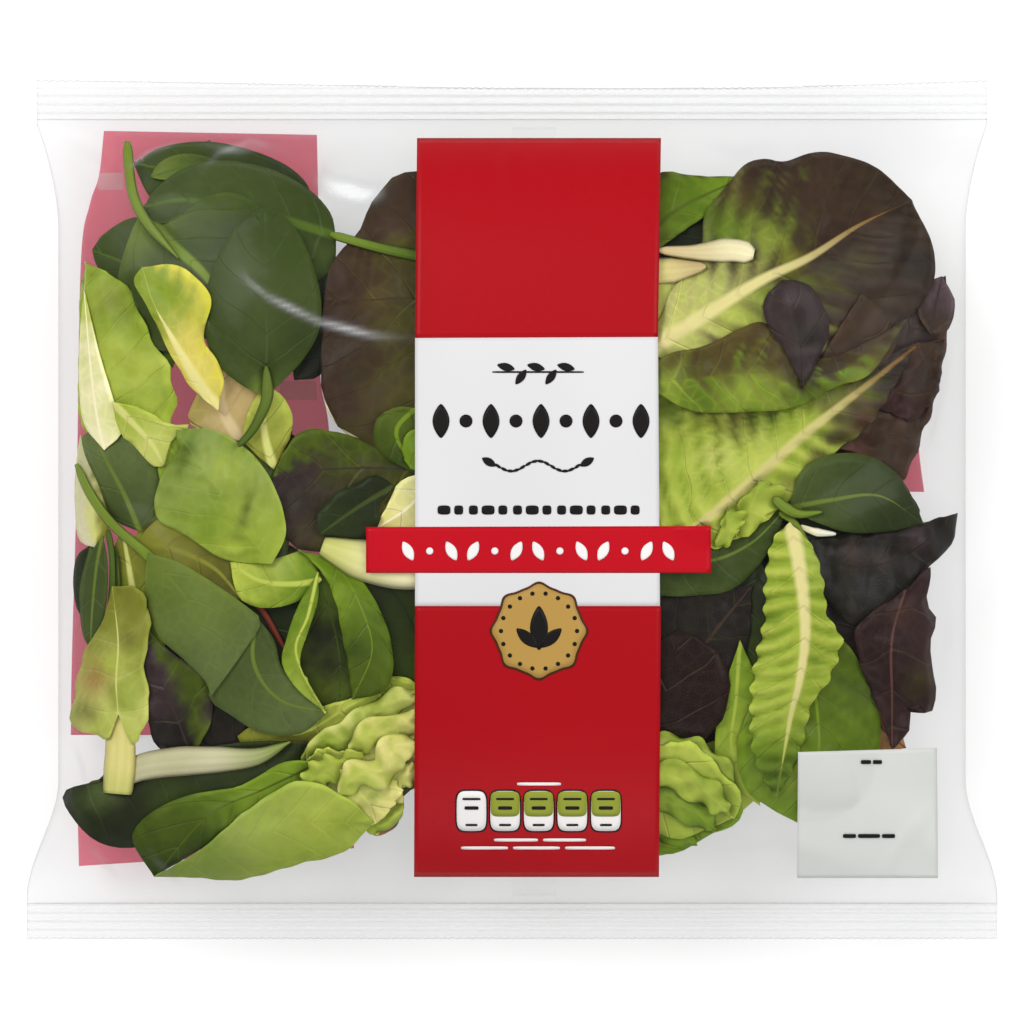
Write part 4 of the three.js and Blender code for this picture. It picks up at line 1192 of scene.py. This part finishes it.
def fillLeaf(chance, index):
    key, long, half, blade, ribName = fillKinds[index % len(fillKinds)]
    kind = kinds[key]
    steps = np.linspace(0, 1, filling["cells"][1] + 1)
    sides = np.linspace(-1, 1, filling["cells"][0] + 1)
    v, u = (grid.ravel() for grid in np.meshgrid(steps, sides, indexing="ij"))
    resting = index >= filling["loose"]  # the last ones are small and lie on the back film
    aside = index % 2 or resting  # every other leaf is a small one beside the print
    reachX, reachY = filling["reach"]
    for _ in range(filling["tries"]):
        turn = chance.uniform(0, 2 * math.pi)
        length, width = long * chance.uniform(*filling["longer"]), half * chance.uniform(*filling["wider"])
        middleX, middleY = chance.uniform(-reachX, reachX), chance.uniform(-reachY, reachY)
        if aside:
            length, width = length * filling["asideSize"][0], width * filling["asideSize"][1]
            middleX = math.copysign(chance.uniform(*filling["aside"]), middleX)
        if resting:
            length, width = length * filling["restingSize"][0], width * filling["restingSize"][1]
        breadth = width * np.sin(math.pi * v ** 0.85) ** 0.6
        forward = (2 * v - 1) * length
        x = middleX + forward * math.cos(turn) - breadth * u * math.sin(turn)
        y = middleY + forward * math.sin(turn) + breadth * u * math.cos(turn)
        if isCovered(x, y):
            break
    else:
        return None
    leafCount[0] += 1
    leaf = newGrid(f"{kind['piece']}.{leafCount[0]:03d}", *filling["cells"])[0]
    a = np.abs(u)
    seed = leafCount[0] * 2.3
    room = frontHeight(x, y) - backHeight(x, y)
    least, more = filling["depth"]
    share = least + more * ((index * 0.618) % 1.0)  # shares of the way from the film down to the back
    if aside:
        share = filling["asideDepth"][0] + filling["asideDepth"][1] * share
    if resting:
        share = filling["restingDepth"][0] + filling["restingDepth"][1] * share
    wave, waveSize = filling["wave"]
    ripple, rippleSize = filling["ripple"]
    z = frontHeight(x, y) - room * share + wave * roughness(x, y, 0 * x, waveSize, seed)
    top = np.minimum(frontHeight(x, y) - filling["belowFilm"], shownRoof(x, y) - filling["belowShown"])
    bottom = backHeight(x, y) + filling["aboveBack"]
    z = np.maximum(np.minimum(z, top), bottom) + ripple * roughness(x, y, 0 * x, rippleSize, seed)
    z = np.maximum(z, bottom - 0.2)
    setPlaces(leaf, x, y, z)
    row = {"blade": blade}
    addValues(leaf, "leafColour", "FLOAT_COLOR", leafColour(row, u, v, x, y, seed))
    addValues(leaf, "ribColour", "FLOAT_COLOR", np.tile(np.append(toned(ribName), 1.0), (len(u), 1)))
    addValues(leaf, "fromRib", "FLOAT", breadth * a / (1.3 * (1 - 0.8 * v) + 0.05))
    addValues(leaf, "veined", "FLOAT", np.full(len(u), 1.0))
    setFlatPlaces(leaf, breadth * u, forward)
    faceUp(leaf)
    return key, leaf


chance = random.Random(filling["seed"])
filled = 0
for index in range(filling["loose"] + filling["resting"]):
    made = fillLeaf(chance, index)
    if made:
        leafParts[made[0]].append(made[1])
        filled += 1
print("leaves inside:", filled)

contents = []
for key, kind in kinds.items():
    piece = join(leafParts[key], kind["piece"])
    mergeDoubles(piece, mergeReach["leaves"])
    piece.data.materials.clear()
    piece.data.materials.append(makeMaterial(kind["material"]))
    thicken(piece, kind["thickness"])
    smooth(piece)
    contents.append(piece)
ribs = join(stalks, stalkKind["piece"])
ribs.data.materials.clear()
ribs.data.materials.append(makeMaterial(stalkKind["material"]))
thicken(ribs, stalkKind["thickness"])
smooth(ribs)
contents.append(ribs)
print("leaves joined by kind")

# The film: a closed pillow, two crimped seals with cut teeth, and the flat back seam
filmLook = {"clear": (0.972, 0.973, 0.973, 1.0), "body": 0.10, "haze": 0.03, "rim": 0.4, "rough": 0.14,
            "ior": 1.9, "sheenBoost": 0.0}
# the seals' sheenBoost strengthens the painted highlight on their rib crests
sealLook = {"clear": (0.962, 0.963, 0.964, 1.0), "body": 0.7, "haze": 0.13, "rim": 0.3, "rough": 0.3,
            "ior": 1.6, "sheenBoost": 0.09}


def filmMaterial(name, look):
    sheet = Sheet(name)
    fine = sheet.noise(90, 0.0, 0.5)
    paintedSheen = sheet.attribute("paintedSheen")
    normal = sheet.bump(fine, 0.3, 0.001)
    edge = sheet.add("ShaderNodeLayerWeight", None, {"Blend": 0.35}, out="Facing")
    # painted highlight: paintedSheen raises the film's cover and lightens its body colour
    cover = look["haze"] + edge ** 3.0 * look["rim"] + paintedSheen * (0.5 + look["sheenBoost"])
    body = sheet.blend(paintedSheen, (look["body"],) * 3 + (1.0,), (0.86, 0.87, 0.88, 1.0))
    clear = sheet.add("ShaderNodeBsdfTransparent", None, {"Color": look["clear"]})
    gloss = sheet.add("ShaderNodeBsdfPrincipled", None, {
        "Base Color": body, "Roughness": look["rough"], "IOR": look["ior"], "Normal": normal})
    film = sheet.add("ShaderNodeMixShader", None, {0: cover.bounded(), 1: clear, 2: gloss})
    return sheet.finish(film)


seamLook = dict(filmLook, clear=(0.998, 0.998, 0.998, 1.0), body=0.8, haze=0.0, rim=0.1)
clearFilm = filmMaterial("clearFilm", filmLook)
seamFilm = filmMaterial("seamFilm", seamLook)
sealFilm = filmMaterial("crimpedFilm", sealLook)
pillowCells = (230, 196)


def crowded(s):
    # the grid's cells crowd towards the film's rim, where it bends most
    return s * (1.25 - 0.25 * s * s)


def paintedSheenAt(x, y):
    # painted highlight: bright streaks fixed along the creases
    total = 0 * x
    for crease in creases:
        away, endFade = lineDistance(crease["points"], x, y)
        total = total + crease["paintedSheen"] * endFade ** 1.6 * np.exp(-(away / crease["breadth"]) ** 2)
    return np.clip(total * (0.8 + 0.5 * roughness(x, y, 0 * x, 12, 4)), 0, 1)


def pillowSide(name, front):
    side, u, v = newGrid(name, *pillowCells)
    u, v = crowded(u), crowded(v)
    y = mix(bottomLine - bag["tuckIn"], topLine + bag["tuckIn"], (v + 1) / 2)
    x = u * halfWidth(y)
    z = frontHeight(x, y) if front else backHeight(x, y)
    rim = (np.abs(u) > 0.9999) | (np.abs(v) > 0.9999)
    z = np.where(rim, bag["sealHeight"], z)
    setPlaces(side, x, y, z)
    # painted highlight streaks, on the front film only
    addValues(side, "paintedSheen", "FLOAT", paintedSheenAt(x, y) if front else 0 * x)
    if not front:
        side.data.flip_normals()
    return side


pillow = join([pillowSide("pillowFront", True), pillowSide("pillowBack", False)], "clearPillow")
mergeDoubles(pillow, mergeReach["film"])
pillow.data.materials.clear()
pillow.data.materials.append(clearFilm)
smooth(pillow)

topEdge, bottomEdge = bag["length"] / 2, -bag["length"] / 2
seals = {
    "topSeal": {"width": bag["topSealWidth"], "inner": topLine, "outer": topEdge, "dip": 2.2},
    "bottomSeal": {"width": bag["bottomSealWidth"], "inner": bottomLine, "outer": bottomEdge, "dip": 0.0},
}
crimp = {"tooth": 2.15, "toothDepth": 0.5, "pitch": 2.3, "height": 0.26, "plain": 0.6, "overlap": 1.2,
         "rows": 52, "thickness": 0.22}


def buildSeal(name, seal):
    teeth = round(seal["width"] / crimp["tooth"])
    strip, u, v = newGrid(name, 2 * teeth, crimp["rows"])
    t, s = (u + 1) / 2, (v + 1) / 2
    away = math.copysign(1, seal["outer"])
    sag = seal["dip"] * np.sin(math.pi * t ** 1.4)
    column = np.round(t * 2 * teeth).astype(int)
    tooth = np.where(column % 2 == 1, crimp["toothDepth"], 0.0) * (s > 0.999)
    outer = seal["outer"] - away * (sag + tooth)
    y = mix(seal["inner"] + away * crimp["overlap"], outer, s)
    x = mix(-seal["width"] / 2, seal["width"] / 2, t)
    fromInner = np.abs(y - seal["inner"]) - crimp["plain"]
    depth = abs(seal["outer"] - seal["inner"]) - 2 * crimp["overlap"]
    ribbed = np.clip(fromInner / 0.4, 0, 1) * np.clip((depth - fromInner) / 0.4, 0, 1)
    wave = np.sin(2 * math.pi * fromInner / crimp["pitch"]) * (1 + 0.12 * np.cos(x * 0.9))
    z = bag["sealHeight"] + crimp["thickness"] / 2 + crimp["height"] * wave * ribbed
    setPlaces(strip, x, y, z)
    # painted highlight: the crests of the crimp ribs are lighter
    addValues(strip, "paintedSheen", "FLOAT", np.clip(0.5 + 0.5 * wave, 0, 1) * ribbed * 0.5)
    faceUp(strip)
    strip.data.materials.clear()
    strip.data.materials.append(sealFilm)
    thicken(strip, crimp["thickness"])
    smooth(strip)
    return strip


sealPieces = [buildSeal(name, seal) for name, seal in seals.items()]

# The back seam, folded flat to one side
backSeam = {"width": 12, "ends": 0.995, "below": 0.12, "thickness": 0.1, "cells": (10, 120)}
seam, u, v = newGrid("backSeam", *backSeam["cells"])
seamX = (u + 1) / 2 * backSeam["width"]
seamY = mix(bottomLine, topLine, (v + 1) / 2) * backSeam["ends"]
seamZ = np.maximum(backSeam["below"], backHeight(seamX, seamY) - backSeam["below"])
setPlaces(seam, seamX, seamY, seamZ)
addValues(seam, "paintedSheen", "FLOAT", 0 * seamX)
seam.data.materials.clear()
seam.data.materials.append(seamFilm)
thicken(seam, backSeam["thickness"])
smooth(seam)
print("film made")

# Print: plain fields of colour on the film, with simple leaves, dots and bars
inks = {
    "redInk": {"colour": (162, 5, 18), "rough": 0.36, "level": 0.08},
    "whiteInk": {"colour": (212, 211, 212), "rough": 0.4, "level": 0.08},
    "ribbonInk": {"colour": (182, 6, 26), "rough": 0.34, "level": 0.16},
    "goldInk": {"colour": (176, 140, 72), "rough": 0.35, "level": 0.34},
    "goldDarkInk": {"colour": (78, 44, 24), "rough": 0.4, "level": 0.24},
    "darkInk": {"colour": (22, 18, 18), "rough": 0.42, "level": 0.24},
    "paleInk": {"colour": (230, 226, 224), "rough": 0.4, "level": 0.32},
    "greenInk": {"colour": (138, 146, 50), "rough": 0.4, "level": 0.36},
}


def inkMaterial(name, look):
    sheet = Sheet(name)
    broad = sheet.noise(14, 1.0, 0.5)
    fine = sheet.noise(900, 0.0, 0.5)
    colour = linear(look["colour"])
    deeper = tuple(part * 0.86 for part in colour[:3]) + (1.0,)
    tone = sheet.blend(((broad - 0.3) * 2.0).bounded(), deeper, colour)
    rough = look["rough"] + fine * 0.1
    ink = sheet.add("ShaderNodeBsdfPrincipled", None, {
        "Base Color": tone, "Roughness": rough, "Specular IOR Level": 0.14})
    if "seeThrough" not in look:
        return sheet.finish(ink)
    glow = sheet.add("ShaderNodeBsdfTransparent", None, {"Color": linear(look["tint"])})
    return sheet.finish(sheet.add("ShaderNodeMixShader", None, {0: look["seeThrough"], 1: ink, 2: glow}))


printParts = {name: [] for name in inks}


def fieldPatch(ink, corners, cells):
    # a four-cornered field: top left, top right, bottom right, bottom left
    patch, u, v = newGrid(f"{ink}.{len(printParts[ink]):03d}", *cells)
    s, t = (u + 1) / 2, (1 - v) / 2
    (ax, ay), (bx, by), (cx, cy), (dx, dy) = corners
    px = (ax * (1 - s) + bx * s) * (1 - t) + (dx * (1 - s) + cx * s) * t
    py = (ay * (1 - s) + by * s) * (1 - t) + (dy * (1 - s) + cy * s) * t
    x, y, z = frontSpots(px, py)
    setPlaces(patch, x, y, z + inks[ink]["level"])
    faceUp(patch)
    printParts[ink].append(patch)


def roundedOutline(halfLong, halfWide, power, count):
    # a closed outline between an ellipse and a rounded box
    t = np.linspace(0, 2 * math.pi, count, endpoint=False)
    c, s = np.cos(t), np.sin(t)
    return np.sign(c) * np.abs(c) ** (2 / power) * halfLong, np.sign(s) * np.abs(s) ** (2 / power) * halfWide


def leafOutline(halfLong, halfWide, count):
    t = np.linspace(0, 2 * math.pi, count, endpoint=False)
    along = np.cos(t)
    side = np.sign(np.sin(t)) * (1 - along ** 2) ** 0.5 * (1 - 0.45 * along ** 2)
    return along * halfLong, side * halfWide


def badgeOutline(radius, count):
    # eight soft corners
    t = np.linspace(0, 2 * math.pi, count, endpoint=False)
    reach = radius * (0.955 + 0.045 * np.cos(8 * t) + 0.012 * np.cos(16 * t))
    return reach * np.cos(t), reach * np.sin(t)


def shapePatch(ink, centre, outline, turn=0.0, rings=3):
    # a small shape, filled from its middle outwards
    ox, oy = outline
    count = len(ox)
    patch, u, v = newGrid(f"{ink}.{len(printParts[ink]):03d}", rings, count)
    r = (u + 1) / 2
    k = np.round((v + 1) / 2 * count).astype(int) % count
    c, s = math.cos(math.radians(turn)), math.sin(math.radians(turn))
    px = centre[0] + r * (ox[k] * c - oy[k] * s)
    py = centre[1] - r * (ox[k] * s + oy[k] * c)
    x, y, z = frontSpots(px, py)
    setPlaces(patch, x, y, z + inks[ink]["level"])
    faceUp(patch)
    printParts[ink].append(patch)


def bar(ink, left, right, y, high):
    shapePatch(ink, ((left + right) / 2, y), roundedOutline((right - left) / 2, high / 2, 6, 24), rings=2)


# The fields' corners and all places below are points of the photograph
fields = [
    {"ink": "redInk", "corners": [(417, 138), (661, 138), (658, 337), (415, 338)], "cells": (44, 38)},
    {"ink": "whiteInk", "corners": [(415, 338), (658, 337), (660, 606), (415, 606)], "cells": (44, 48)},
    {"ink": "redInk", "corners": [(415, 606), (661, 606), (659, 877), (414, 877)], "cells": (44, 50)},
    {"ink": "ribbonInk", "corners": [(366, 527), (711, 526), (711, 573), (366, 573)], "cells": (70, 10)},
]
for field in fields:
    fieldPatch(field["ink"], field["corners"], field["cells"])

# The sprig at the top of the white field
sprig = {"x": 506, "y": 372, "step": 15, "leaves": 5, "sway": 5, "leaf": (9, 4), "lean": 20, "spread": 34,
         "stem": (492, 584), "stemHigh": 1.8}
for step in range(sprig["leaves"]):
    side = 1 if step % 2 else -1
    spot = (sprig["x"] + sprig["step"] * step, sprig["y"] + sprig["sway"] * side)
    shapePatch("darkInk", spot, leafOutline(*sprig["leaf"], 20), sprig["lean"] + sprig["spread"] * side)
bar("darkInk", *sprig["stem"], sprig["y"], sprig["stemHigh"])

# A row of bold leaves and dots
boldRow = {"x": 441, "y": 421, "step": 25, "count": 9, "dot": 6.5, "leaf": (17, 8.5)}
for step in range(boldRow["count"]):
    spot = (boldRow["x"] + boldRow["step"] * step, boldRow["y"])
    if step % 2:
        shapePatch("darkInk", spot, roundedOutline(boldRow["dot"], boldRow["dot"], 2, 24))
    else:
        shapePatch("darkInk", spot, leafOutline(*boldRow["leaf"], 28), 90)

# A drawn line with a leaf at each end
drawnLine = {"x": 498, "y": 466, "step": 6.1, "count": 14, "sway": 5, "turn": 0.72, "slope": -35,
             "dash": (3.8, 1.5), "leaf": (8, 4), "ends": [((489, 462), 150), ((587, 462), 30)]}
for step in range(drawnLine["count"]):
    swing = step * drawnLine["turn"]
    spot = (drawnLine["x"] + drawnLine["step"] * step, drawnLine["y"] + drawnLine["sway"] * math.sin(swing))
    slope = drawnLine["slope"] * math.cos(swing)
    shapePatch("darkInk", spot, roundedOutline(*drawnLine["dash"], 2, 14), slope, 2)
for spot, turn in drawnLine["ends"]:
    shapePatch("darkInk", spot, leafOutline(*drawnLine["leaf"], 20), turn)

# Small dashes below it
dashes = {"x": 444, "y": 510, "step": 14.7, "count": 14, "short": 4.5, "long": 6.5, "high": 4.6}
for step in range(dashes["count"]):
    width = dashes["short"] if step % 3 else dashes["long"]
    spot = (dashes["x"] + dashes["step"] * step, dashes["y"])
    shapePatch("darkInk", spot, roundedOutline(width, dashes["high"], 3.5, 20), rings=2)

# White leaves and dots on the ribbon
ribbonRow = {"x": 408, "y": 551, "step": 21.7, "count": 13, "dot": 3.6, "leaf": (10.5, 5.2),
             "turns": (118, 62)}
for step in range(ribbonRow["count"]):
    spot = (ribbonRow["x"] + ribbonRow["step"] * step, ribbonRow["y"])
    if step % 3 == 1:
        shapePatch("paleInk", spot, roundedOutline(ribbonRow["dot"], ribbonRow["dot"], 2, 18), rings=2)
    else:
        shapePatch("paleInk", spot, leafOutline(*ribbonRow["leaf"], 24), ribbonRow["turns"][step % 2])

# A plain round seal with a leaf on it
badge = {"x": 539, "y": 631, "rim": 49, "field": 46.5, "ring": 38, "dot": 2.2, "between": 20, "level": 0.44,
         "leaves": [((539, 628), (22, 9, 32), 90), ((527, 638), (14, 6, 26), 138),
                    ((551, 638), (14, 6, 26), 42)]}
shapePatch("goldDarkInk", (badge["x"], badge["y"]), badgeOutline(badge["rim"], 96), rings=6)
shapePatch("goldInk", (badge["x"], badge["y"]), badgeOutline(badge["field"], 96), rings=6)
inks["darkInk"]["level"] = badge["level"]
for turn in range(0, 360, badge["between"]):
    across, down = badge["ring"] * math.cos(math.radians(turn)), badge["ring"] * math.sin(math.radians(turn))
    spot = (badge["x"] + across, badge["y"] + down)
    shapePatch("darkInk", spot, roundedOutline(badge["dot"], badge["dot"], 2, 12), rings=2)
for spot, size, turn in badge["leaves"]:
    shapePatch("darkInk", spot, leafOutline(*size), turn)

# Five small plain lozenges, one white and four green, each with three bars
lozenges = {"x": 471.5, "y": 811, "step": 33.6, "count": 5, "edge": (16.2, 21.5), "field": (14.8, 20),
            "green": (14.6, 12.6), "greenY": 804, "edgeLevel": 0.2, "fieldLevel": 0.28, "barLevel": 0.44,
            "bars": [(9, 799, 2.2), (7, 808, 3.4), (6, 825, 2.2)]}
for step in range(lozenges["count"]):
    middle = lozenges["x"] + lozenges["step"] * step
    inks["darkInk"]["level"] = lozenges["edgeLevel"]
    shapePatch("darkInk", (middle, lozenges["y"]), roundedOutline(*lozenges["edge"], 4.5, 44), rings=4)
    inks["paleInk"]["level"] = lozenges["fieldLevel"]
    shapePatch("paleInk", (middle, lozenges["y"]), roundedOutline(*lozenges["field"], 4.5, 44), rings=4)
    if step:
        spot = (middle, lozenges["greenY"])
        shapePatch("greenInk", spot, roundedOutline(*lozenges["green"], 5, 40), rings=3)
    inks["darkInk"]["level"] = lozenges["barLevel"]
    for half, y, high in lozenges["bars"]:
        bar("darkInk", middle - half, middle + half, y, high)

# Short white lines round them
whiteLines = {"level": 0.3, "high": 3.0,
              "places": [(517, 561, 784), (494, 538, 840), (543, 586, 840), (461, 508, 848), (513, 560, 848),
                         (565, 615, 848)]}
inks["paleInk"]["level"] = whiteLines["level"]
for left, right, y in whiteLines["places"]:
    bar("paleInk", left, right, y, whiteLines["high"])

# Plain bars on the frosted panel
panelBars = {"high": 4.0, "places": [(861, 871, 762), (873, 882, 762), (843, 856, 836), (858, 880, 836),
                                     (882, 895, 836)]}
for left, right, y in panelBars["places"]:
    bar("darkInk", left, right, y, panelBars["high"])

inkThickness = 0.04
printed = []
for name, look in inks.items():
    piece = join(printParts[name], name)
    mergeDoubles(piece, mergeReach["ink"])
    piece.data.materials.clear()
    piece.data.materials.append(inkMaterial(name, look))
    thicken(piece, inkThickness)
    smooth(piece)
    printed.append(piece)

# The frosted panel at the bottom right
frost = {"corners": [(798, 752), (937, 748), (938, 878), (797, 878)], "cells": (34, 32), "cover": 0.76,
         "colour": (210, 212, 207)}
inks["frostedPanel"] = {"level": 0.06}
printParts["frostedPanel"] = []
fieldPatch("frostedPanel", frost["corners"], frost["cells"])
panel = printParts["frostedPanel"][0]
panel.name = panel.data.name = "frostedPanel"


def frostMaterial():
    sheet = Sheet("frostedInk")
    cloud = sheet.noise(60, 3.0, 0.5)
    frosted = sheet.add("ShaderNodeBsdfPrincipled", None, {
        "Base Color": linear(frost["colour"]), "Roughness": 0.5})
    seeThrough = sheet.add("ShaderNodeBsdfTransparent", None, {"Color": (0.97, 0.97, 0.97, 1.0)})
    cover = (frost["cover"] + (cloud - 0.5) * 0.1).bounded()
    return sheet.finish(sheet.add("ShaderNodeMixShader", None, {0: cover, 1: seeThrough, 2: frosted}))


panel.data.materials.clear()
panel.data.materials.append(frostMaterial())
thicken(panel, inkThickness)
smooth(panel)
printed.append(panel)

# Print on the back, which shows through the film: pink from inside, red from outside
backInks = {
    "backPrintInside": {"colour": (255, 146, 166), "rough": 0.5, "seeThrough": 0.72, "tint": (255, 186, 200)},
    "backPrintOutside": {"colour": (190, 22, 38), "rough": 0.4, "seeThrough": 0.6, "tint": (252, 222, 226)},
    "backLabelInside": {"colour": (255, 230, 232), "rough": 0.5, "seeThrough": 0.75, "tint": (255, 250, 250)},
}
backMaterials = {name: inkMaterial(name, look) for name, look in backInks.items()}
backFields = [
    # outline by its left edge and right edge, from top to bottom
    {"name": "backPrintLeft",
     "left": [(104, 131), (99, 176), (90, 204), (81, 262), (77, 480), (72, 660), (71, 735)],
     "right": [(317, 135), (319, 250), (320, 373), (329, 430), (334, 560), (338, 660), (340, 735)],
     "ink": ("backPrintInside", "backPrintOutside"), "level": 0.12},
    {"name": "backPrintLow", "left": [(77, 786), (78, 826), (79, 866)],
     "right": [(352, 786), (353, 826), (354, 848)],
     "ink": ("backPrintInside", "backPrintOutside"), "level": 0.12},
    {"name": "backPrintRight", "left": [(740, 300), (742, 400), (744, 488)],
     "right": [(912, 300), (918, 437), (924, 492)],
     "ink": ("backPrintInside", "backPrintOutside"), "level": 0.12},
    {"name": "backLabelTop", "left": [(99, 173), (98, 190)], "right": [(124, 173), (124, 190)],
     "ink": ("backLabelInside", "backLabelInside"), "level": 0.22},
    {"name": "backLabelMiddle", "left": [(280, 381), (280, 400)], "right": [(316, 381), (317, 400)],
     "ink": ("backLabelInside", "backLabelInside"), "level": 0.22},
]
backInk = {"thickness": 0.06, "cells": (60, 90)}
for field in backFields:
    patch, u, v = newGrid(field["name"], *backInk["cells"])
    t = (1 - v) / 2
    leftX, leftY = smoothLine(field["left"], t)
    rightX, rightY = smoothLine(field["right"], t)
    s = (u + 1) / 2
    x, y, z = backSpots(mix(leftX, rightX, s), mix(leftY, rightY, s))
    setPlaces(patch, x, y, z + field["level"])
    faceUp(patch)
    patch.data.materials.clear()
    for ink in field["ink"]:
        patch.data.materials.append(backMaterials[ink])
    thicken(patch, backInk["thickness"], insideSlot=1)
    smooth(patch)
    printed.append(patch)
print("print made")

# Everything rides on the bag's one body and stands for its solid
for piece in [pillow, *sealPieces, seam, *printed, *contents]:
    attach(piece, "root")
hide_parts("salad_bag")

# Pale floor, soft lights, camera
room = {"floorSize": 8, "floorHeight": -0.0002, "glow": 0.46, "light": 0.34, "sensor": 36, "farEnd": 20}
deselectAll()
bpy.ops.mesh.primitive_plane_add(size=room["floorSize"], location=(0, 0, room["floorHeight"]))
floor = bpy.context.active_object
floor.name = "paleFloor"


def floorMaterial():
    sheet = Sheet("paleFloor")
    cloud = sheet.noise(3, 2.0, 0.5)
    tone = sheet.blend(cloud, (0.54, 0.54, 0.54, 1.0), (0.56, 0.56, 0.56, 1.0))
    return sheet.finish(sheet.add("ShaderNodeBsdfPrincipled", None, {
        "Base Color": tone, "Roughness": 0.8, "Specular IOR Level": 0.1,
        "Emission Color": (1.0, 1.0, 1.0, 1.0), "Emission Strength": room["glow"]}))


floor.data.materials.append(floorMaterial())

lamps = [
    {"name": "keySoftbox", "place": (-1.1, 1.0, 1.5), "size": (1.2, 1.2), "power": 27},
    {"name": "fillSoftbox", "place": (1.3, 0.5, 1.3), "size": (1.0, 1.4), "power": 17},
    {"name": "frontSoftbox", "place": (0.1, -1.5, 1.3), "size": (1.6, 0.8), "power": 8},
    {"name": "overheadFill", "place": (0.0, 0.0, 2.4), "size": (1.0, 1.0), "power": 12, "mirrored": False},
]
for lamp in lamps:
    data = bpy.data.lights.new(lamp["name"], "AREA")
    data.shape = "RECTANGLE"
    data.size, data.size_y = lamp["size"]
    data.energy = lamp["power"]
    light = bpy.data.objects.new(lamp["name"], data)
    bpy.context.scene.collection.objects.link(light)
    light.location = lamp["place"]
    light.visible_glossy = lamp.get("mirrored", True)  # the film doesn't mirror the overhead fill
    light.rotation_euler = (Vector((0, 0, 0)) - light.location).to_track_quat("-Z", "Y").to_euler()

world = bpy.data.worlds.new("studio")
bpy.context.scene.world = world
world.use_nodes = True
world.node_tree.nodes["Background"].inputs["Color"].default_value = (1.0, 1.0, 1.0, 1.0)
world.node_tree.nodes["Background"].inputs["Strength"].default_value = room["light"]

cameraData = bpy.data.cameras.new("viewFromAbove")
cameraData.type = "PERSP"
cameraData.sensor_width = room["sensor"]
cameraData.lens = room["sensor"] * view["distance"] / view["frameWidth"]
cameraData.clip_end = room["farEnd"]
cameraObject = bpy.data.objects.new("viewFromAbove", cameraData)
bpy.context.scene.collection.objects.link(cameraObject)
cameraObject.location = (0, view["aimY"] / 1000, (view["distance"] + bag["sealHeight"]) / 1000)
bpy.context.scene.camera = cameraObject
bpy.context.scene.view_settings.view_transform = "Standard"

print("scene ready")
